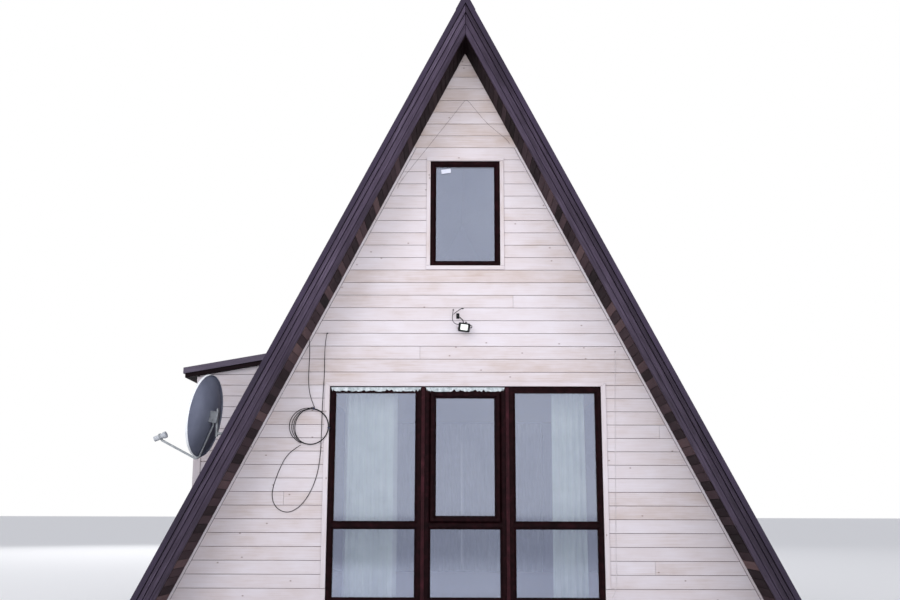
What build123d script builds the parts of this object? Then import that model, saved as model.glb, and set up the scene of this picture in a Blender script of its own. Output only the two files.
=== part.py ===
from math import atan, cos, degrees, pi, radians, sin, sqrt, tan
import os

from build123d import *

# Timber a-frame cabin. Origin on the ground at the middle of the main plan.
# X runs to the right of the front, Y to the back and Z up. Millimetres.

# Roof form
roof_run = 0.5104
half_angle = atan(roof_run)
ridge_z = 7010
roof_depth = 218
wall_length = 7500
overhang = 490
foundation_top = 250

# Layers of the roof, measured inward and square to its outer line
rib_top_n = 8
sheet_top_n = 36
panel_top_n = 44
cap_top_n = -4
cap_under_n = 2

# Rake trim
plank_thickness = 25
plank_joint = 4
plank_top_n = 104
batten_top_n = 59
batten_bottom_n = 100
batten_step = 15
flashing_depth_n = 55
flashing_step = 32
flashing_metal = 6
flashing_cover = 150
rake_foot_z = 120

# Walls and floors
wall_thickness = 150
trim_thickness = 15
floor_top = 410
loft_floor_bottom = 2950
loft_floor_top = 3130
gable_trim_width = 42

# Foundation strips
strip_width = 250
foundation_toe = 39
seat_gap = 0.3
foundation_apron = 30

# Lower window group
frame_depth = 70
frame_recess = 15
glass_thickness = 24
group_half_width = 1443
group_bottom = 476
group_top = 2727
post_centre = 447
coupling_width = 36
coupling_thickness = 8
stile = 64
rail = 70
transom_bottom = 1236
transom_top = 1316
sash_face = 54
sash_proud = 10
bead_width = 15
bead_depth = 18
side_trim_width = 50
side_trim_bottom = 640
header_width = 141
header_lift = 7
trim_joint = 2

# Upper window
upper_half_width = 384
upper_bottom = 4046
upper_top = 5243
upper_stile = 60
upper_trim_width = 42

# Side bay with the entrance
bay_half_length = 1350
bay_eave_x = -3622
bay_eave_z = 3234
bay_pitch_rise = 0.1763
bay_roof_thickness = 51
bay_fascia_height = 77
bay_fascia_thickness = 22
bay_roof_overhang = 90
bay_corner_width = 90
corner_clear_n = 4
bay_rib_pitch = 200
bay_rib_foot = 60
bay_rib_crown = 26
bay_rib_height = 15
bay_rib_start = 60
cut_reach = 300

# Entrance door
door_centre_y = 350
door_width = 900
door_height = 2040
door_frame_face = 60
door_thickness = 50
door_gap = 3
door_sill = 30
door_stop = 12
door_setback = 10
door_panel_width = 280
door_panel_spacing = 380
door_panel_rows = ((220, 640), (1060, 800))
door_groove = 30
door_groove_depth = 5

# Cables on the front wall
cable_diameter = 7
coil_x = -1633
coil_z = 2294
coil_ring = 193
coil_bundle = 11
gland_reach = 5
gland_wall = 4
loop_lift = 7.5
wire_lift = 1.8

# Dish on the left slope near the front edge
dish_x = -2750
dish_before_wall = 100
dish_z = 2400
dish_radius = 425
dish_depth = 75
dish_skin = 3
dish_lip = 8
dish_flange = 20
dish_turn = 9.4
dish_lean = 8.4
clamp_length = 87
clamp_width = 70
clamp_height = 120
mast_behind = 150
mast_radius = 17
strut_radius = 14
mast_above = 70
mast_below = 220
foot_drop = 190
foot_size = 160
foot_plate = 6
arm_radius = 12
arm_behind = 120
arm_knee_drop = 462
arm_knee_behind = 24
receiver_drop = 284
receiver_front = 437
receiver_radius = 28
receiver_clamp = 8

# Floodlight
lamp_x = -12
lamp_z = 3346
lamp_width = 126
lamp_height = 94
lamp_depth = 34
lamp_off_wall = 78
lamp_tilt = -8
lamp_glass_width = 77
lamp_glass_height = 63
lamp_glass_depth = 4
lamp_rod = 5
lamp_foot_x = -80
lamp_foot_z = 3488
lamp_foot_width = 34
lamp_foot_height = 60

# Curtains behind the two outer bays
curtain_thickness = 60
curtain_bottom_gap = 20
curtain_off_wall = 110
left_curtain_x = -1015
left_curtain_width = 560
right_curtain_x = 1115
right_curtain_width = 370
back_curtain_width = 1330
back_curtain_gap = 40
track_height = 35
track_half_length = 1400
track_depth = 30

front_wall_y = -wall_length / 2
back_wall_y = wall_length / 2
rake_y = front_wall_y - overhang
dish_centre = (dish_x, front_wall_y - dish_before_wall, dish_z)

os.makedirs("parts", exist_ok=True)


def save(part, label):
    part.label = label
    export_step(part, "parts/" + label + ".step")


def apex_z(depth_n):
    return ridge_z - depth_n / sin(half_angle)


def roof_x(depth_n, z):
    return roof_run * (apex_z(depth_n) - z)


def gable_plane(y):
    # Sketch plane facing the front: local x is X, local y is Z.
    return Plane.XZ.offset(-y)


def band_outline(side, top_n, bottom_n, foot_z):
    # Strip along one roof slope, mitred at the ridge and level at its foot.
    return [
        (0, apex_z(top_n)),
        (side * roof_x(top_n, foot_z), foot_z),
        (side * roof_x(bottom_n, foot_z), foot_z),
        (0, apex_z(bottom_n)),
    ]


def closed_face(points):
    Polygon(*points, align=None)


foundation_half_width = roof_x(panel_top_n, foundation_top) + foundation_toe
bay_outer_x = -foundation_half_width

# Foundation strips
strip_length = wall_length + 2 * overhang - 2 * plank_thickness
strip_spacing = foundation_half_width - strip_width
with BuildPart() as foundation_sides:
    with BuildSketch():
        for side in (-1, 1):
            with Locations((side * (foundation_half_width - strip_width / 2), 0)):
                Rectangle(strip_width, strip_length)
    extrude(amount=foundation_top)
save(foundation_sides.part, "foundation_sides")

with BuildPart() as foundation_ends:
    with BuildSketch():
        for side in (-1, 1):
            end_y = side * (back_wall_y + foundation_apron - strip_width / 2)
            with Locations((0, end_y)):
                Rectangle(2 * strip_spacing, strip_width)
    extrude(amount=foundation_top)
save(foundation_ends.part, "foundation_ends")

middle_length = wall_length + 2 * foundation_apron - 2 * strip_width
with BuildPart() as foundation_middle:
    with BuildSketch():
        Rectangle(strip_width, middle_length)
    extrude(amount=foundation_top)
save(foundation_middle.part, "foundation_middle")

# Floors, cut to the roof slope at both sides
room_length = wall_length - 2 * wall_thickness
bay_inner_x = bay_outer_x + wall_thickness
bay_inner_half = bay_half_length - wall_thickness
with BuildPart() as ground_floor:
    with BuildSketch(gable_plane(room_length / 2)):
        closed_face([
            (-roof_x(roof_depth, foundation_top), foundation_top),
            (roof_x(roof_depth, foundation_top), foundation_top),
            (roof_x(roof_depth, floor_top), floor_top),
            (-roof_x(roof_depth, floor_top), floor_top),
        ])
    extrude(amount=room_length)
save(ground_floor.part, "ground_floor")

with BuildPart() as loft_floor:
    with BuildSketch(gable_plane(room_length / 2)):
        closed_face([
            (-roof_x(roof_depth, loft_floor_bottom), loft_floor_bottom),
            (roof_x(roof_depth, loft_floor_bottom), loft_floor_bottom),
            (roof_x(roof_depth, loft_floor_top), loft_floor_top),
            (-roof_x(roof_depth, loft_floor_top), loft_floor_top),
        ])
    extrude(amount=room_length)
save(loft_floor.part, "loft_floor")


# Side bay: lines of its roof
def bay_top_z(x):
    return bay_eave_z + bay_pitch_rise * (x - bay_eave_x)


def bay_under_z(x):
    return bay_top_z(x) - bay_fascia_height - bay_roof_thickness


def bay_meets_roof(drop, depth_n):
    # Point where a bay roof line, dropped below its top, meets a main roof line.
    start = bay_eave_z - drop - bay_pitch_rise * bay_eave_x
    slope = bay_pitch_rise
    z = (start - slope * roof_run * apex_z(depth_n)) / (1 - slope * roof_run)
    return (-roof_x(depth_n, z), z)


bay_drop = bay_fascia_height + bay_roof_thickness

# Roof panels. The left one is notched inside the bay.
panel_length = strip_length
with BuildPart() as right_roof_panel:
    with BuildSketch(gable_plane(panel_length / 2)):
        closed_face(band_outline(1, panel_top_n, roof_depth, foundation_top))
    extrude(amount=panel_length)
save(right_roof_panel.part, "right_roof_panel")

bay_head_z = bay_meets_roof(bay_drop, roof_depth)[1]
with BuildPart() as left_roof_panel:
    with BuildSketch(gable_plane(panel_length / 2)):
        closed_face(band_outline(-1, panel_top_n, roof_depth, foundation_top))
    extrude(amount=panel_length)
    with BuildSketch(gable_plane(bay_inner_half)):
        closed_face([
            (bay_outer_x - cut_reach, 0),
            (0, 0),
            (0, bay_head_z),
            (bay_outer_x - cut_reach, bay_head_z),
        ])
    extrude(amount=2 * bay_inner_half, mode=Mode.SUBTRACT)
save(left_roof_panel.part, "left_roof_panel")

# Ribbed sheets: one folded profile pushed down the slope
rib_count = 25
rib_edge = 100
rib_foot = 70
rib_crown = 30
sheet_length = wall_length + 2 * overhang
rib_pitch = (sheet_length - 2 * rib_edge) / (rib_count - 1)
sheet_foot_z = foundation_top + 4
sheet_slope_length = (apex_z(panel_top_n) - sheet_foot_z) / cos(half_angle)


def sheet_profile():
    # Local x runs along the ridge, local y out of the roof from the sheet's underside.
    base = panel_top_n - sheet_top_n
    crown = panel_top_n - rib_top_n
    edge = sheet_length / 2
    first = -rib_pitch * (rib_count - 1) / 2
    points = [(-edge, 0), (-edge, base)]
    for index in range(rib_count):
        centre = first + index * rib_pitch
        points.append((centre - rib_foot / 2, base))
        points.append((centre - rib_crown / 2, crown))
        points.append((centre + rib_crown / 2, crown))
        points.append((centre + rib_foot / 2, base))
    points.append((edge, base))
    points.append((edge, 0))
    return points


def slope_plane(side):
    # Stands square to the slope at the ridge and looks down it.
    return Plane(
        origin=(0, 0, apex_z(panel_top_n)),
        x_dir=(0, side, 0),
        z_dir=(side * sin(half_angle), 0, -cos(half_angle)),
    )


with BuildPart() as right_roof_sheet:
    with BuildSketch(slope_plane(1)):
        closed_face(sheet_profile())
    extrude(amount=sheet_slope_length)
save(right_roof_sheet.part, "right_roof_sheet")

bay_roof_edge_z = bay_meets_roof(-1, panel_top_n + 1)[1]
with BuildPart() as left_roof_sheet:
    with BuildSketch(slope_plane(-1)):
        closed_face(sheet_profile())
    extrude(amount=sheet_slope_length)
    with BuildSketch(gable_plane(bay_half_length + bay_roof_overhang)):
        closed_face([
            (bay_outer_x - cut_reach, bay_under_z(bay_outer_x - cut_reach) - 1),
            bay_meets_roof(bay_drop + 1, panel_top_n + 1),
            (bay_meets_roof(-1, panel_top_n + 1)[0], bay_roof_edge_z),
            (bay_outer_x - cut_reach, bay_roof_edge_z),
        ])
    extrude(amount=2 * (bay_half_length + bay_roof_overhang), mode=Mode.SUBTRACT)
    with BuildSketch(gable_plane(bay_half_length)):
        closed_face([
            (bay_outer_x - cut_reach, 0),
            (-roof_x(panel_top_n + 1, 0), 0),
            bay_meets_roof(bay_drop, panel_top_n + 1),
            (bay_outer_x - cut_reach, bay_under_z(bay_outer_x)),
        ])
    extrude(amount=2 * bay_half_length, mode=Mode.SUBTRACT)
save(left_roof_sheet.part, "left_roof_sheet")

# Ridge cap folded over the sheets
cap_leg = 210
with BuildPart() as ridge_cap:
    with BuildSketch(gable_plane(sheet_length / 2 + flashing_step)):
        foot = apex_z(cap_top_n) - cap_leg
        for side in (-1, 1):
            closed_face(band_outline(side, cap_top_n, cap_under_n, foot))
    extrude(amount=sheet_length + 2 * flashing_step)
save(ridge_cap.part, "ridge_cap")

# Rake trim at both gables
middle_n = (plank_top_n + roof_depth) / 2
planks = (
    (plank_top_n, middle_n - plank_joint / 2),
    (middle_n + plank_joint / 2, roof_depth),
)


def mitred_band(side, top_n, bottom_n, foot_z):
    # The same strip, cut back from the ridge line so that left and right don't touch.
    back = trim_joint / 2
    rise = back / roof_run
    points = band_outline(side, top_n, bottom_n, foot_z)
    points[0] = (side * back, points[0][1] - rise)
    points[3] = (side * back, points[3][1] - rise)
    return points


for gable, facing in (("front", -1), ("back", 1)):
    outer_y = facing * (back_wall_y + overhang)
    with BuildPart() as bargeboards:
        start_y = max(outer_y, outer_y - facing * plank_thickness)
        with BuildSketch(gable_plane(start_y)):
            for side in (-1, 1):
                for top_n, bottom_n in planks:
                    closed_face(mitred_band(side, top_n, bottom_n, rake_foot_z))
        extrude(amount=plank_thickness)
    save(bargeboards.part, gable + "_bargeboards")

with BuildPart() as verge_battens:
    for facing in (-1, 1):
        outer_y = facing * (back_wall_y + overhang)
        reach = outer_y + facing * batten_step
        start_y = max(reach, outer_y - facing * plank_thickness)
        with BuildSketch(gable_plane(start_y)):
            for side in (-1, 1):
                closed_face(mitred_band(side, batten_top_n, batten_bottom_n, rake_foot_z))
        extrude(amount=batten_step + plank_thickness)
save(verge_battens.part, "verge_battens")

with BuildPart() as verge_flashings:
    for facing in (-1, 1):
        reach = facing * (back_wall_y + overhang + flashing_step)
        start_y = max(reach, reach - facing * flashing_metal)
        with BuildSketch(gable_plane(start_y)):
            for side in (-1, 1):
                closed_face(band_outline(side, cap_under_n, flashing_depth_n, rake_foot_z))
        extrude(amount=flashing_metal)
        start_y = max(reach, reach - facing * flashing_cover)
        with BuildSketch(gable_plane(start_y)):
            for side in (-1, 1):
                closed_face(band_outline(side, cap_under_n, rib_top_n, sheet_foot_z))
        extrude(amount=flashing_cover)
save(verge_flashings.part, "verge_flashings")

# Gable walls with their window holes
for gable, start_y in (("front", front_wall_y + wall_thickness), ("back", back_wall_y)):
    with BuildPart() as gable_wall:
        with BuildSketch(gable_plane(start_y)):
            closed_face([
                (-roof_x(roof_depth, foundation_top), foundation_top),
                (roof_x(roof_depth, foundation_top), foundation_top),
                (0, apex_z(roof_depth)),
            ])
            with Locations((0, (group_bottom + group_top) / 2)):
                Rectangle(2 * group_half_width, group_top - group_bottom, mode=Mode.SUBTRACT)
            with Locations((0, (upper_bottom + upper_top) / 2)):
                Rectangle(2 * upper_half_width, upper_top - upper_bottom, mode=Mode.SUBTRACT)
        extrude(amount=wall_thickness)
    save(gable_wall.part, gable + "_wall")


def trim_start(facing):
    # Trim boards lie on the wall's outer face.
    wall_face = facing * back_wall_y
    return max(wall_face, wall_face + facing * trim_thickness)


def frame_start(facing):
    outer = facing * (back_wall_y - frame_recess)
    return max(outer, outer - facing * frame_depth)


def upright_slab(centre_x, low_z, width, height):
    with Locations((centre_x, low_z + height / 2)):
        Rectangle(width, height)


def upright_hole(centre_x, low_z, width, height):
    with Locations((centre_x, low_z + height / 2)):
        Rectangle(width, height, mode=Mode.SUBTRACT)


def bead_cut(centre_x, low_z, width, height):
    with Locations((centre_x, low_z + height / 2)):
        Rectangle(width + 2 * bead_width, height + 2 * bead_width)


bead_taper = degrees(atan(bead_width / bead_depth))
unit_inner = post_centre + coupling_width / 2
side_unit_width = group_half_width - unit_inner
side_unit_centre = (group_half_width + unit_inner) / 2
centre_unit_width = 2 * (post_centre - coupling_width / 2)
group_height = group_top - group_bottom
lower_pane_bottom = group_bottom + rail
lower_pane_height = transom_bottom - lower_pane_bottom
upper_pane_height = group_top - rail - transom_top
sash_width = centre_unit_width - 2 * stile
sash_pane_width = sash_width - 2 * sash_face
sash_pane_height = upper_pane_height - 2 * sash_face
units = (
    ("left", -side_unit_centre, side_unit_width),
    ("centre", 0, centre_unit_width),
    ("right", side_unit_centre, side_unit_width),
)
glass_inset = (frame_depth - glass_thickness) / 2

upper_height = upper_top - upper_bottom
upper_pane_width = 2 * (upper_half_width - upper_stile)
upper_pane = upper_height - 2 * upper_stile

for gable, facing in (("front", -1), ("back", 1)):
    # Three frames coupled side by side
    with BuildPart() as lower_frames:
        with BuildSketch(gable_plane(frame_start(facing))):
            for name, centre_x, width in units:
                upright_slab(centre_x, group_bottom, width, group_height)
            for name, centre_x, width in units:
                pane_width = width - 2 * stile
                upright_hole(centre_x, lower_pane_bottom, pane_width, lower_pane_height)
                upright_hole(centre_x, transom_top, pane_width, upper_pane_height)
        extrude(amount=frame_depth)
        # Sloped beads round every pane
        with BuildSketch(gable_plane(facing * (back_wall_y - frame_recess))):
            for name, centre_x, width in units:
                for low_z, height in (
                    (lower_pane_bottom, lower_pane_height),
                    (transom_top, upper_pane_height),
                ):
                    bead_cut(centre_x, low_z, width - 2 * stile, height)
        extrude(amount=facing * bead_depth, taper=bead_taper, mode=Mode.SUBTRACT)
    save(lower_frames.part, gable + "_lower_window_frames")
    with BuildPart() as glass:
        with BuildSketch(gable_plane(frame_start(facing) - glass_inset)):
            for name, centre_x, width in units:
                pane_width = width - 2 * stile
                upright_slab(centre_x, lower_pane_bottom, pane_width, lower_pane_height)
            for side in (-1, 1):
                centre_x = side * side_unit_centre
                pane_width = side_unit_width - 2 * stile
                upright_slab(centre_x, transom_top, pane_width, upper_pane_height)
            upright_slab(0, transom_top + sash_face, sash_pane_width, sash_pane_height)
            upright_slab(0, upper_bottom + upper_stile, upper_pane_width, upper_pane)
        extrude(amount=glass_thickness)
    save(glass.part, gable + "_glass")
    with BuildPart() as trims:
        with BuildSketch(gable_plane(trim_start(facing))):
            header_width_x = 2 * (group_half_width + side_trim_width)
            upright_slab(0, group_top + header_lift, header_width_x, header_width)
            side_x = group_half_width + side_trim_width / 2
            side_height = group_top + header_lift - trim_joint - side_trim_bottom
            for side in (-1, 1):
                upright_slab(side * side_x, side_trim_bottom, side_trim_width, side_height)
            full_width = 2 * (upper_half_width + upper_trim_width)
            upright_slab(0, upper_top, full_width, upper_trim_width)
            upright_slab(0, upper_bottom - upper_trim_width, full_width, upper_trim_width)
            side_x = upper_half_width + upper_trim_width / 2
            side_height = upper_height - 2 * trim_joint
            for side in (-1, 1):
                low_z = upper_bottom + trim_joint
                upright_slab(side * side_x, low_z, upper_trim_width, side_height)
            strip_n = roof_depth + gable_trim_width
            for side in (-1, 1):
                closed_face(mitred_band(side, roof_depth, strip_n, foundation_top))
        extrude(amount=trim_thickness)
    save(trims.part, gable + "_trims")

with BuildPart() as window_sashes:
    for facing in (-1, 1):
        proud_start = max(frame_start(facing), frame_start(facing) + facing * sash_proud)
        with BuildSketch(gable_plane(proud_start)):
            upright_slab(0, transom_top, sash_width, upper_pane_height)
            upright_hole(0, transom_top + sash_face, sash_pane_width, sash_pane_height)
        extrude(amount=frame_depth + sash_proud)
        with BuildSketch(gable_plane(facing * (back_wall_y - frame_recess + sash_proud))):
            bead_cut(0, transom_top + sash_face, sash_pane_width, sash_pane_height)
        extrude(amount=facing * bead_depth, taper=bead_taper, mode=Mode.SUBTRACT)
save(window_sashes.part, "window_sashes")

with BuildPart() as window_couplings:
    for facing in (-1, 1):
        outer = facing * (back_wall_y - frame_recess)
        inner_y = outer - facing * frame_depth
        start_y = max(outer + facing * coupling_thickness, inner_y)
        with BuildSketch(gable_plane(start_y)):
            for side in (-1, 1):
                upright_slab(side * post_centre, group_bottom, coupling_width, group_height)
        extrude(amount=frame_depth + coupling_thickness)
save(window_couplings.part, "window_couplings")

with BuildPart() as upper_window_frames:
    for facing in (-1, 1):
        with BuildSketch(gable_plane(frame_start(facing))):
            upright_slab(0, upper_bottom, 2 * upper_half_width, upper_height)
            upright_hole(0, upper_bottom + upper_stile, upper_pane_width, upper_pane)
        extrude(amount=frame_depth)
        with BuildSketch(gable_plane(facing * (back_wall_y - frame_recess))):
            bead_cut(0, upper_bottom + upper_stile, upper_pane_width, upper_pane)
        extrude(amount=facing * bead_depth, taper=bead_taper, mode=Mode.SUBTRACT)
save(upper_window_frames.part, "upper_window_frames")

# Side bay walls. The cheeks stand on the main roof panel.
with BuildPart() as bay_cheek_walls:
    for start_y in (-bay_inner_half, bay_half_length):
        with BuildSketch(gable_plane(start_y)):
            closed_face([
                (bay_outer_x, foundation_top),
                (-roof_x(panel_top_n, foundation_top), foundation_top),
                bay_meets_roof(bay_drop, panel_top_n),
                (bay_outer_x, bay_under_z(bay_outer_x)),
            ])
        extrude(amount=wall_thickness)
save(bay_cheek_walls.part, "bay_cheek_walls")

door_frame_width = door_width + 2 * (door_frame_face + door_gap)
door_frame_bottom = floor_top
door_frame_height = door_height + door_sill + door_frame_face + 2 * door_gap
door_hole_top = door_frame_bottom + door_frame_height
with BuildPart() as bay_side_wall:
    with BuildSketch(gable_plane(bay_inner_half)):
        closed_face([
            (bay_outer_x, foundation_top),
            (bay_inner_x, foundation_top),
            (bay_inner_x, bay_under_z(bay_inner_x)),
            (bay_outer_x, bay_under_z(bay_outer_x)),
        ])
    extrude(amount=2 * bay_inner_half)
    with BuildSketch(Plane.YZ.offset(bay_outer_x - 10)):
        upright_slab(door_centre_y, door_frame_bottom, door_frame_width, door_frame_height)
    extrude(amount=wall_thickness + 20, mode=Mode.SUBTRACT)
save(bay_side_wall.part, "bay_side_wall")

# Entrance door, closed
with BuildPart() as door_frame:
    with BuildSketch(Plane.YZ.offset(bay_outer_x + frame_recess)):
        upright_slab(door_centre_y, door_frame_bottom, door_frame_width, door_frame_height)
        hole_bottom = door_frame_bottom + door_sill
        hole_width = door_width + 2 * door_gap
        upright_hole(door_centre_y, hole_bottom, hole_width, door_height + 2 * door_gap)
    extrude(amount=door_setback + door_thickness)
    stop_x = bay_outer_x + frame_recess + door_setback + door_thickness
    with BuildSketch(Plane.YZ.offset(stop_x)):
        upright_slab(door_centre_y, door_frame_bottom, door_frame_width, door_frame_height)
        stop_height = door_height - 2 * door_stop
        stop_width = door_width - 2 * door_stop
        upright_hole(door_centre_y, hole_bottom + door_stop, stop_width, stop_height)
    extrude(amount=2 * door_stop)
save(door_frame.part, "entrance_door_frame")

with BuildPart() as door_leaf:
    with BuildSketch(Plane.YZ.offset(bay_outer_x + frame_recess + door_setback)):
        leaf_bottom = door_frame_bottom + door_sill + door_gap
        upright_slab(door_centre_y, leaf_bottom, door_width, door_height)
    extrude(amount=door_thickness)
    # Four fields, each inside its own groove
    with BuildSketch(Plane.YZ.offset(bay_outer_x + frame_recess + door_setback)):
        for row_bottom, row_height in door_panel_rows:
            for side in (-1, 1):
                panel_y = door_centre_y + side * door_panel_spacing / 2
                low_z = leaf_bottom + row_bottom
                upright_slab(panel_y, low_z, door_panel_width, row_height)
                field_width = door_panel_width - 2 * door_groove
                field_height = row_height - 2 * door_groove
                upright_hole(panel_y, low_z + door_groove, field_width, field_height)
    extrude(amount=door_groove_depth, mode=Mode.SUBTRACT)
save(door_leaf.part, "entrance_door")

# Bay roof slab and its edge boards
bay_roof_y = bay_half_length + bay_roof_overhang - bay_fascia_thickness
slab_x = bay_eave_x + bay_fascia_thickness
with BuildPart() as bay_roof:
    with BuildSketch(gable_plane(bay_roof_y)):
        closed_face([
            (slab_x, bay_under_z(slab_x)),
            bay_meets_roof(bay_drop, panel_top_n),
            bay_meets_roof(0, panel_top_n),
            (slab_x, bay_top_z(slab_x)),
        ])
    extrude(amount=2 * bay_roof_y)
    # Ribs of its sheet, from below the main roof down to the eave
    rib_top_x = bay_meets_roof(0, panel_top_n)[0] - bay_rib_start
    bay_angle = atan(bay_pitch_rise)
    down_slope = Plane(
        origin=(rib_top_x, 0, bay_top_z(rib_top_x)),
        x_dir=(0, -1, 0),
        z_dir=(-cos(bay_angle), 0, -sin(bay_angle)),
    )
    bay_rib_count = round(2 * bay_roof_y / bay_rib_pitch) - 1
    with BuildSketch(down_slope):
        for index in range(bay_rib_count):
            centre = (index - (bay_rib_count - 1) / 2) * bay_rib_pitch
            closed_face([
                (centre - bay_rib_foot / 2, -1),
                (centre + bay_rib_foot / 2, -1),
                (centre + bay_rib_crown / 2, bay_rib_height),
                (centre - bay_rib_crown / 2, bay_rib_height),
            ])
    extrude(amount=(rib_top_x - slab_x) / cos(bay_angle))
save(bay_roof.part, "bay_roof")

with BuildPart() as bay_fascia:
    with BuildSketch(gable_plane(bay_roof_y + bay_fascia_thickness)):
        closed_face([
            (bay_eave_x, bay_top_z(bay_eave_x) - bay_fascia_height),
            bay_meets_roof(bay_fascia_height, panel_top_n),
            bay_meets_roof(0, panel_top_n),
            (bay_eave_x, bay_top_z(bay_eave_x)),
        ])
    extrude(amount=2 * (bay_roof_y + bay_fascia_thickness))
    with BuildSketch(gable_plane(bay_roof_y)):
        closed_face([
            (slab_x, bay_top_z(slab_x) - bay_drop),
            bay_meets_roof(bay_drop + 1, panel_top_n + 1),
            bay_meets_roof(-1, panel_top_n + 1),
            (slab_x, bay_top_z(slab_x) + 1),
        ])
    extrude(amount=2 * bay_roof_y, mode=Mode.SUBTRACT)
save(bay_fascia.part, "bay_fascia")

# Corner boards of the bay
with BuildPart() as corner_boards:
    corner_top = bay_under_z(bay_outer_x) - trim_thickness
    corner_height = corner_top - foundation_top
    for side in (-1, 1):
        face_y = side * bay_half_length
        start_y = max(face_y, face_y + side * trim_thickness)
        with BuildSketch(gable_plane(start_y)):
            outer_x = bay_outer_x - trim_thickness
            inner_x = outer_x + bay_corner_width
            closed_face([
                (outer_x, foundation_top),
                (-roof_x(corner_clear_n, foundation_top), foundation_top),
                (inner_x, apex_z(corner_clear_n) + inner_x / roof_run),
                (inner_x, corner_top),
                (outer_x, corner_top),
            ])
        extrude(amount=trim_thickness)
        board_y = side * (bay_half_length - bay_corner_width / 2)
        with BuildSketch(Plane.YZ.offset(bay_outer_x - trim_thickness)):
            upright_slab(board_y, foundation_top, bay_corner_width, corner_height)
        extrude(amount=trim_thickness)
save(corner_boards.part, "bay_corner_boards")

# Dish: frame of its rim plane, with local z out of the open side
turn = radians(dish_turn)
lean = radians(dish_lean)
dish_side = Vector(sin(turn), cos(turn), 0)
dish_normal = Vector(-cos(turn) * cos(lean), sin(turn) * cos(lean), sin(lean))
dish_up = dish_normal.cross(dish_side)
if dish_up.Z < 0:
    dish_side = dish_side * -1
    dish_up = dish_up * -1
rim_plane = Plane(origin=dish_centre, x_dir=dish_side, z_dir=dish_normal)
side_cut = Plane(origin=dish_centre, x_dir=dish_up, z_dir=dish_up.cross(dish_normal))


dish_curve = (dish_radius**2 + dish_depth**2) / (2 * dish_depth)


def dish_surface(radius, skin):
    # Height of the bowl over its rim plane, on the face or a skin behind it.
    return dish_curve - dish_depth - sqrt((dish_curve + skin) ** 2 - radius**2)


with BuildPart() as dish_reflector:
    with BuildSketch(Plane.XZ):
        half = dish_radius / 2
        rim = dish_radius + dish_lip
        lip_back = dish_surface(dish_radius, dish_skin)
        back_depth = -dish_depth - dish_skin
        with BuildLine():
            ThreePointArc((0, -dish_depth), (half, dish_surface(half, 0)), (dish_radius, 0))
            Line((dish_radius, 0), (rim, 0))
            Line((rim, 0), (rim, -dish_flange))
            Line((rim, -dish_flange), (rim - dish_skin, -dish_flange))
            Line((rim - dish_skin, -dish_flange), (rim - dish_skin, lip_back))
            Line((rim - dish_skin, lip_back), (dish_radius, lip_back))
            back_half = (half, dish_surface(half, dish_skin))
            ThreePointArc((dish_radius, lip_back), back_half, (0, back_depth))
            Line((0, back_depth), (0, -dish_depth))
        make_face()
    revolve(axis=Axis.Z)
save(rim_plane.location * dish_reflector.part, "dish_reflector")

mast_point = rim_plane.from_local_coords((0, 0, -mast_behind))
foot_z = dish_centre[2] - foot_drop
foot_point = Vector(-roof_x(rib_top_n, foot_z), mast_point.Y, foot_z)
slope_out = Vector(-cos(half_angle), 0, sin(half_angle))
foot_plane = Plane(foot_point, x_dir=(0, 1, 0), z_dir=slope_out)
strut_start = foot_point.X + strut_radius
with BuildPart() as dish_bracket:
    with BuildSketch(Plane((strut_start, foot_point.Y, foot_z), x_dir=(0, 1, 0), z_dir=(-1, 0, 0))):
        Circle(strut_radius)
    extrude(amount=strut_start - mast_point.X)
    # The strut ends on the foot plate
    with BuildSketch(foot_plane):
        Rectangle(foot_size, foot_size)
    extrude(amount=-foot_size / 2, mode=Mode.SUBTRACT)
    with BuildSketch(foot_plane):
        Rectangle(foot_size, foot_size)
    extrude(amount=foot_plate)
    mast_bottom = Plane((mast_point.X, mast_point.Y, dish_centre[2] - mast_below))
    with BuildSketch(mast_bottom):
        Circle(mast_radius)
    extrude(amount=mast_below + mast_above)
    with BuildSketch(rim_plane.offset(-dish_depth - dish_skin)):
        Rectangle(clamp_width, clamp_height)
    extrude(amount=-clamp_length)
save(dish_bracket.part, "dish_bracket")

# Feed arm in the dish's middle plane: local x up the dish, local y out of it
feed_line = Vector(receiver_drop, -dish_depth - receiver_front).normalized()
below_axis = Vector(-feed_line.Y, feed_line.X)
if below_axis.X > 0:
    below_axis = below_axis * -1
receiver_point = Vector(-receiver_drop, receiver_front)
arm_end = receiver_point + below_axis * (receiver_radius + receiver_clamp + 1)
receiver_centre = side_cut.from_local_coords((-receiver_drop, receiver_front, 0))
feed_target = side_cut.from_local_coords((0, -dish_depth, 0))
feed_direction = (feed_target - receiver_centre).normalized()
receiver_plane = Plane(origin=receiver_centre, x_dir=side_cut.z_dir, z_dir=feed_direction)
clamp_foot = -clamp_height / 2
with BuildPart() as dish_feed_arm:
    with BuildLine(side_cut) as arm_route:
        FilletPolyline(
            (clamp_foot, -arm_behind),
            (clamp_foot - 3 * arm_radius, -arm_behind),
            (-arm_knee_drop, -arm_knee_behind),
            (arm_end.X, arm_end.Y),
            radius=(3 * arm_radius, 4 * arm_radius),
        )
    with BuildSketch(Plane(origin=arm_route.line @ 0, z_dir=arm_route.line % 0)):
        Circle(arm_radius)
    sweep()
    with BuildSketch(receiver_plane.offset(-receiver_clamp)):
        Circle(receiver_radius + receiver_clamp)
        Circle(receiver_radius + seat_gap, mode=Mode.SUBTRACT)
    extrude(amount=2 * receiver_clamp)
save(dish_feed_arm.part, "dish_feed_arm")

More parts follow.
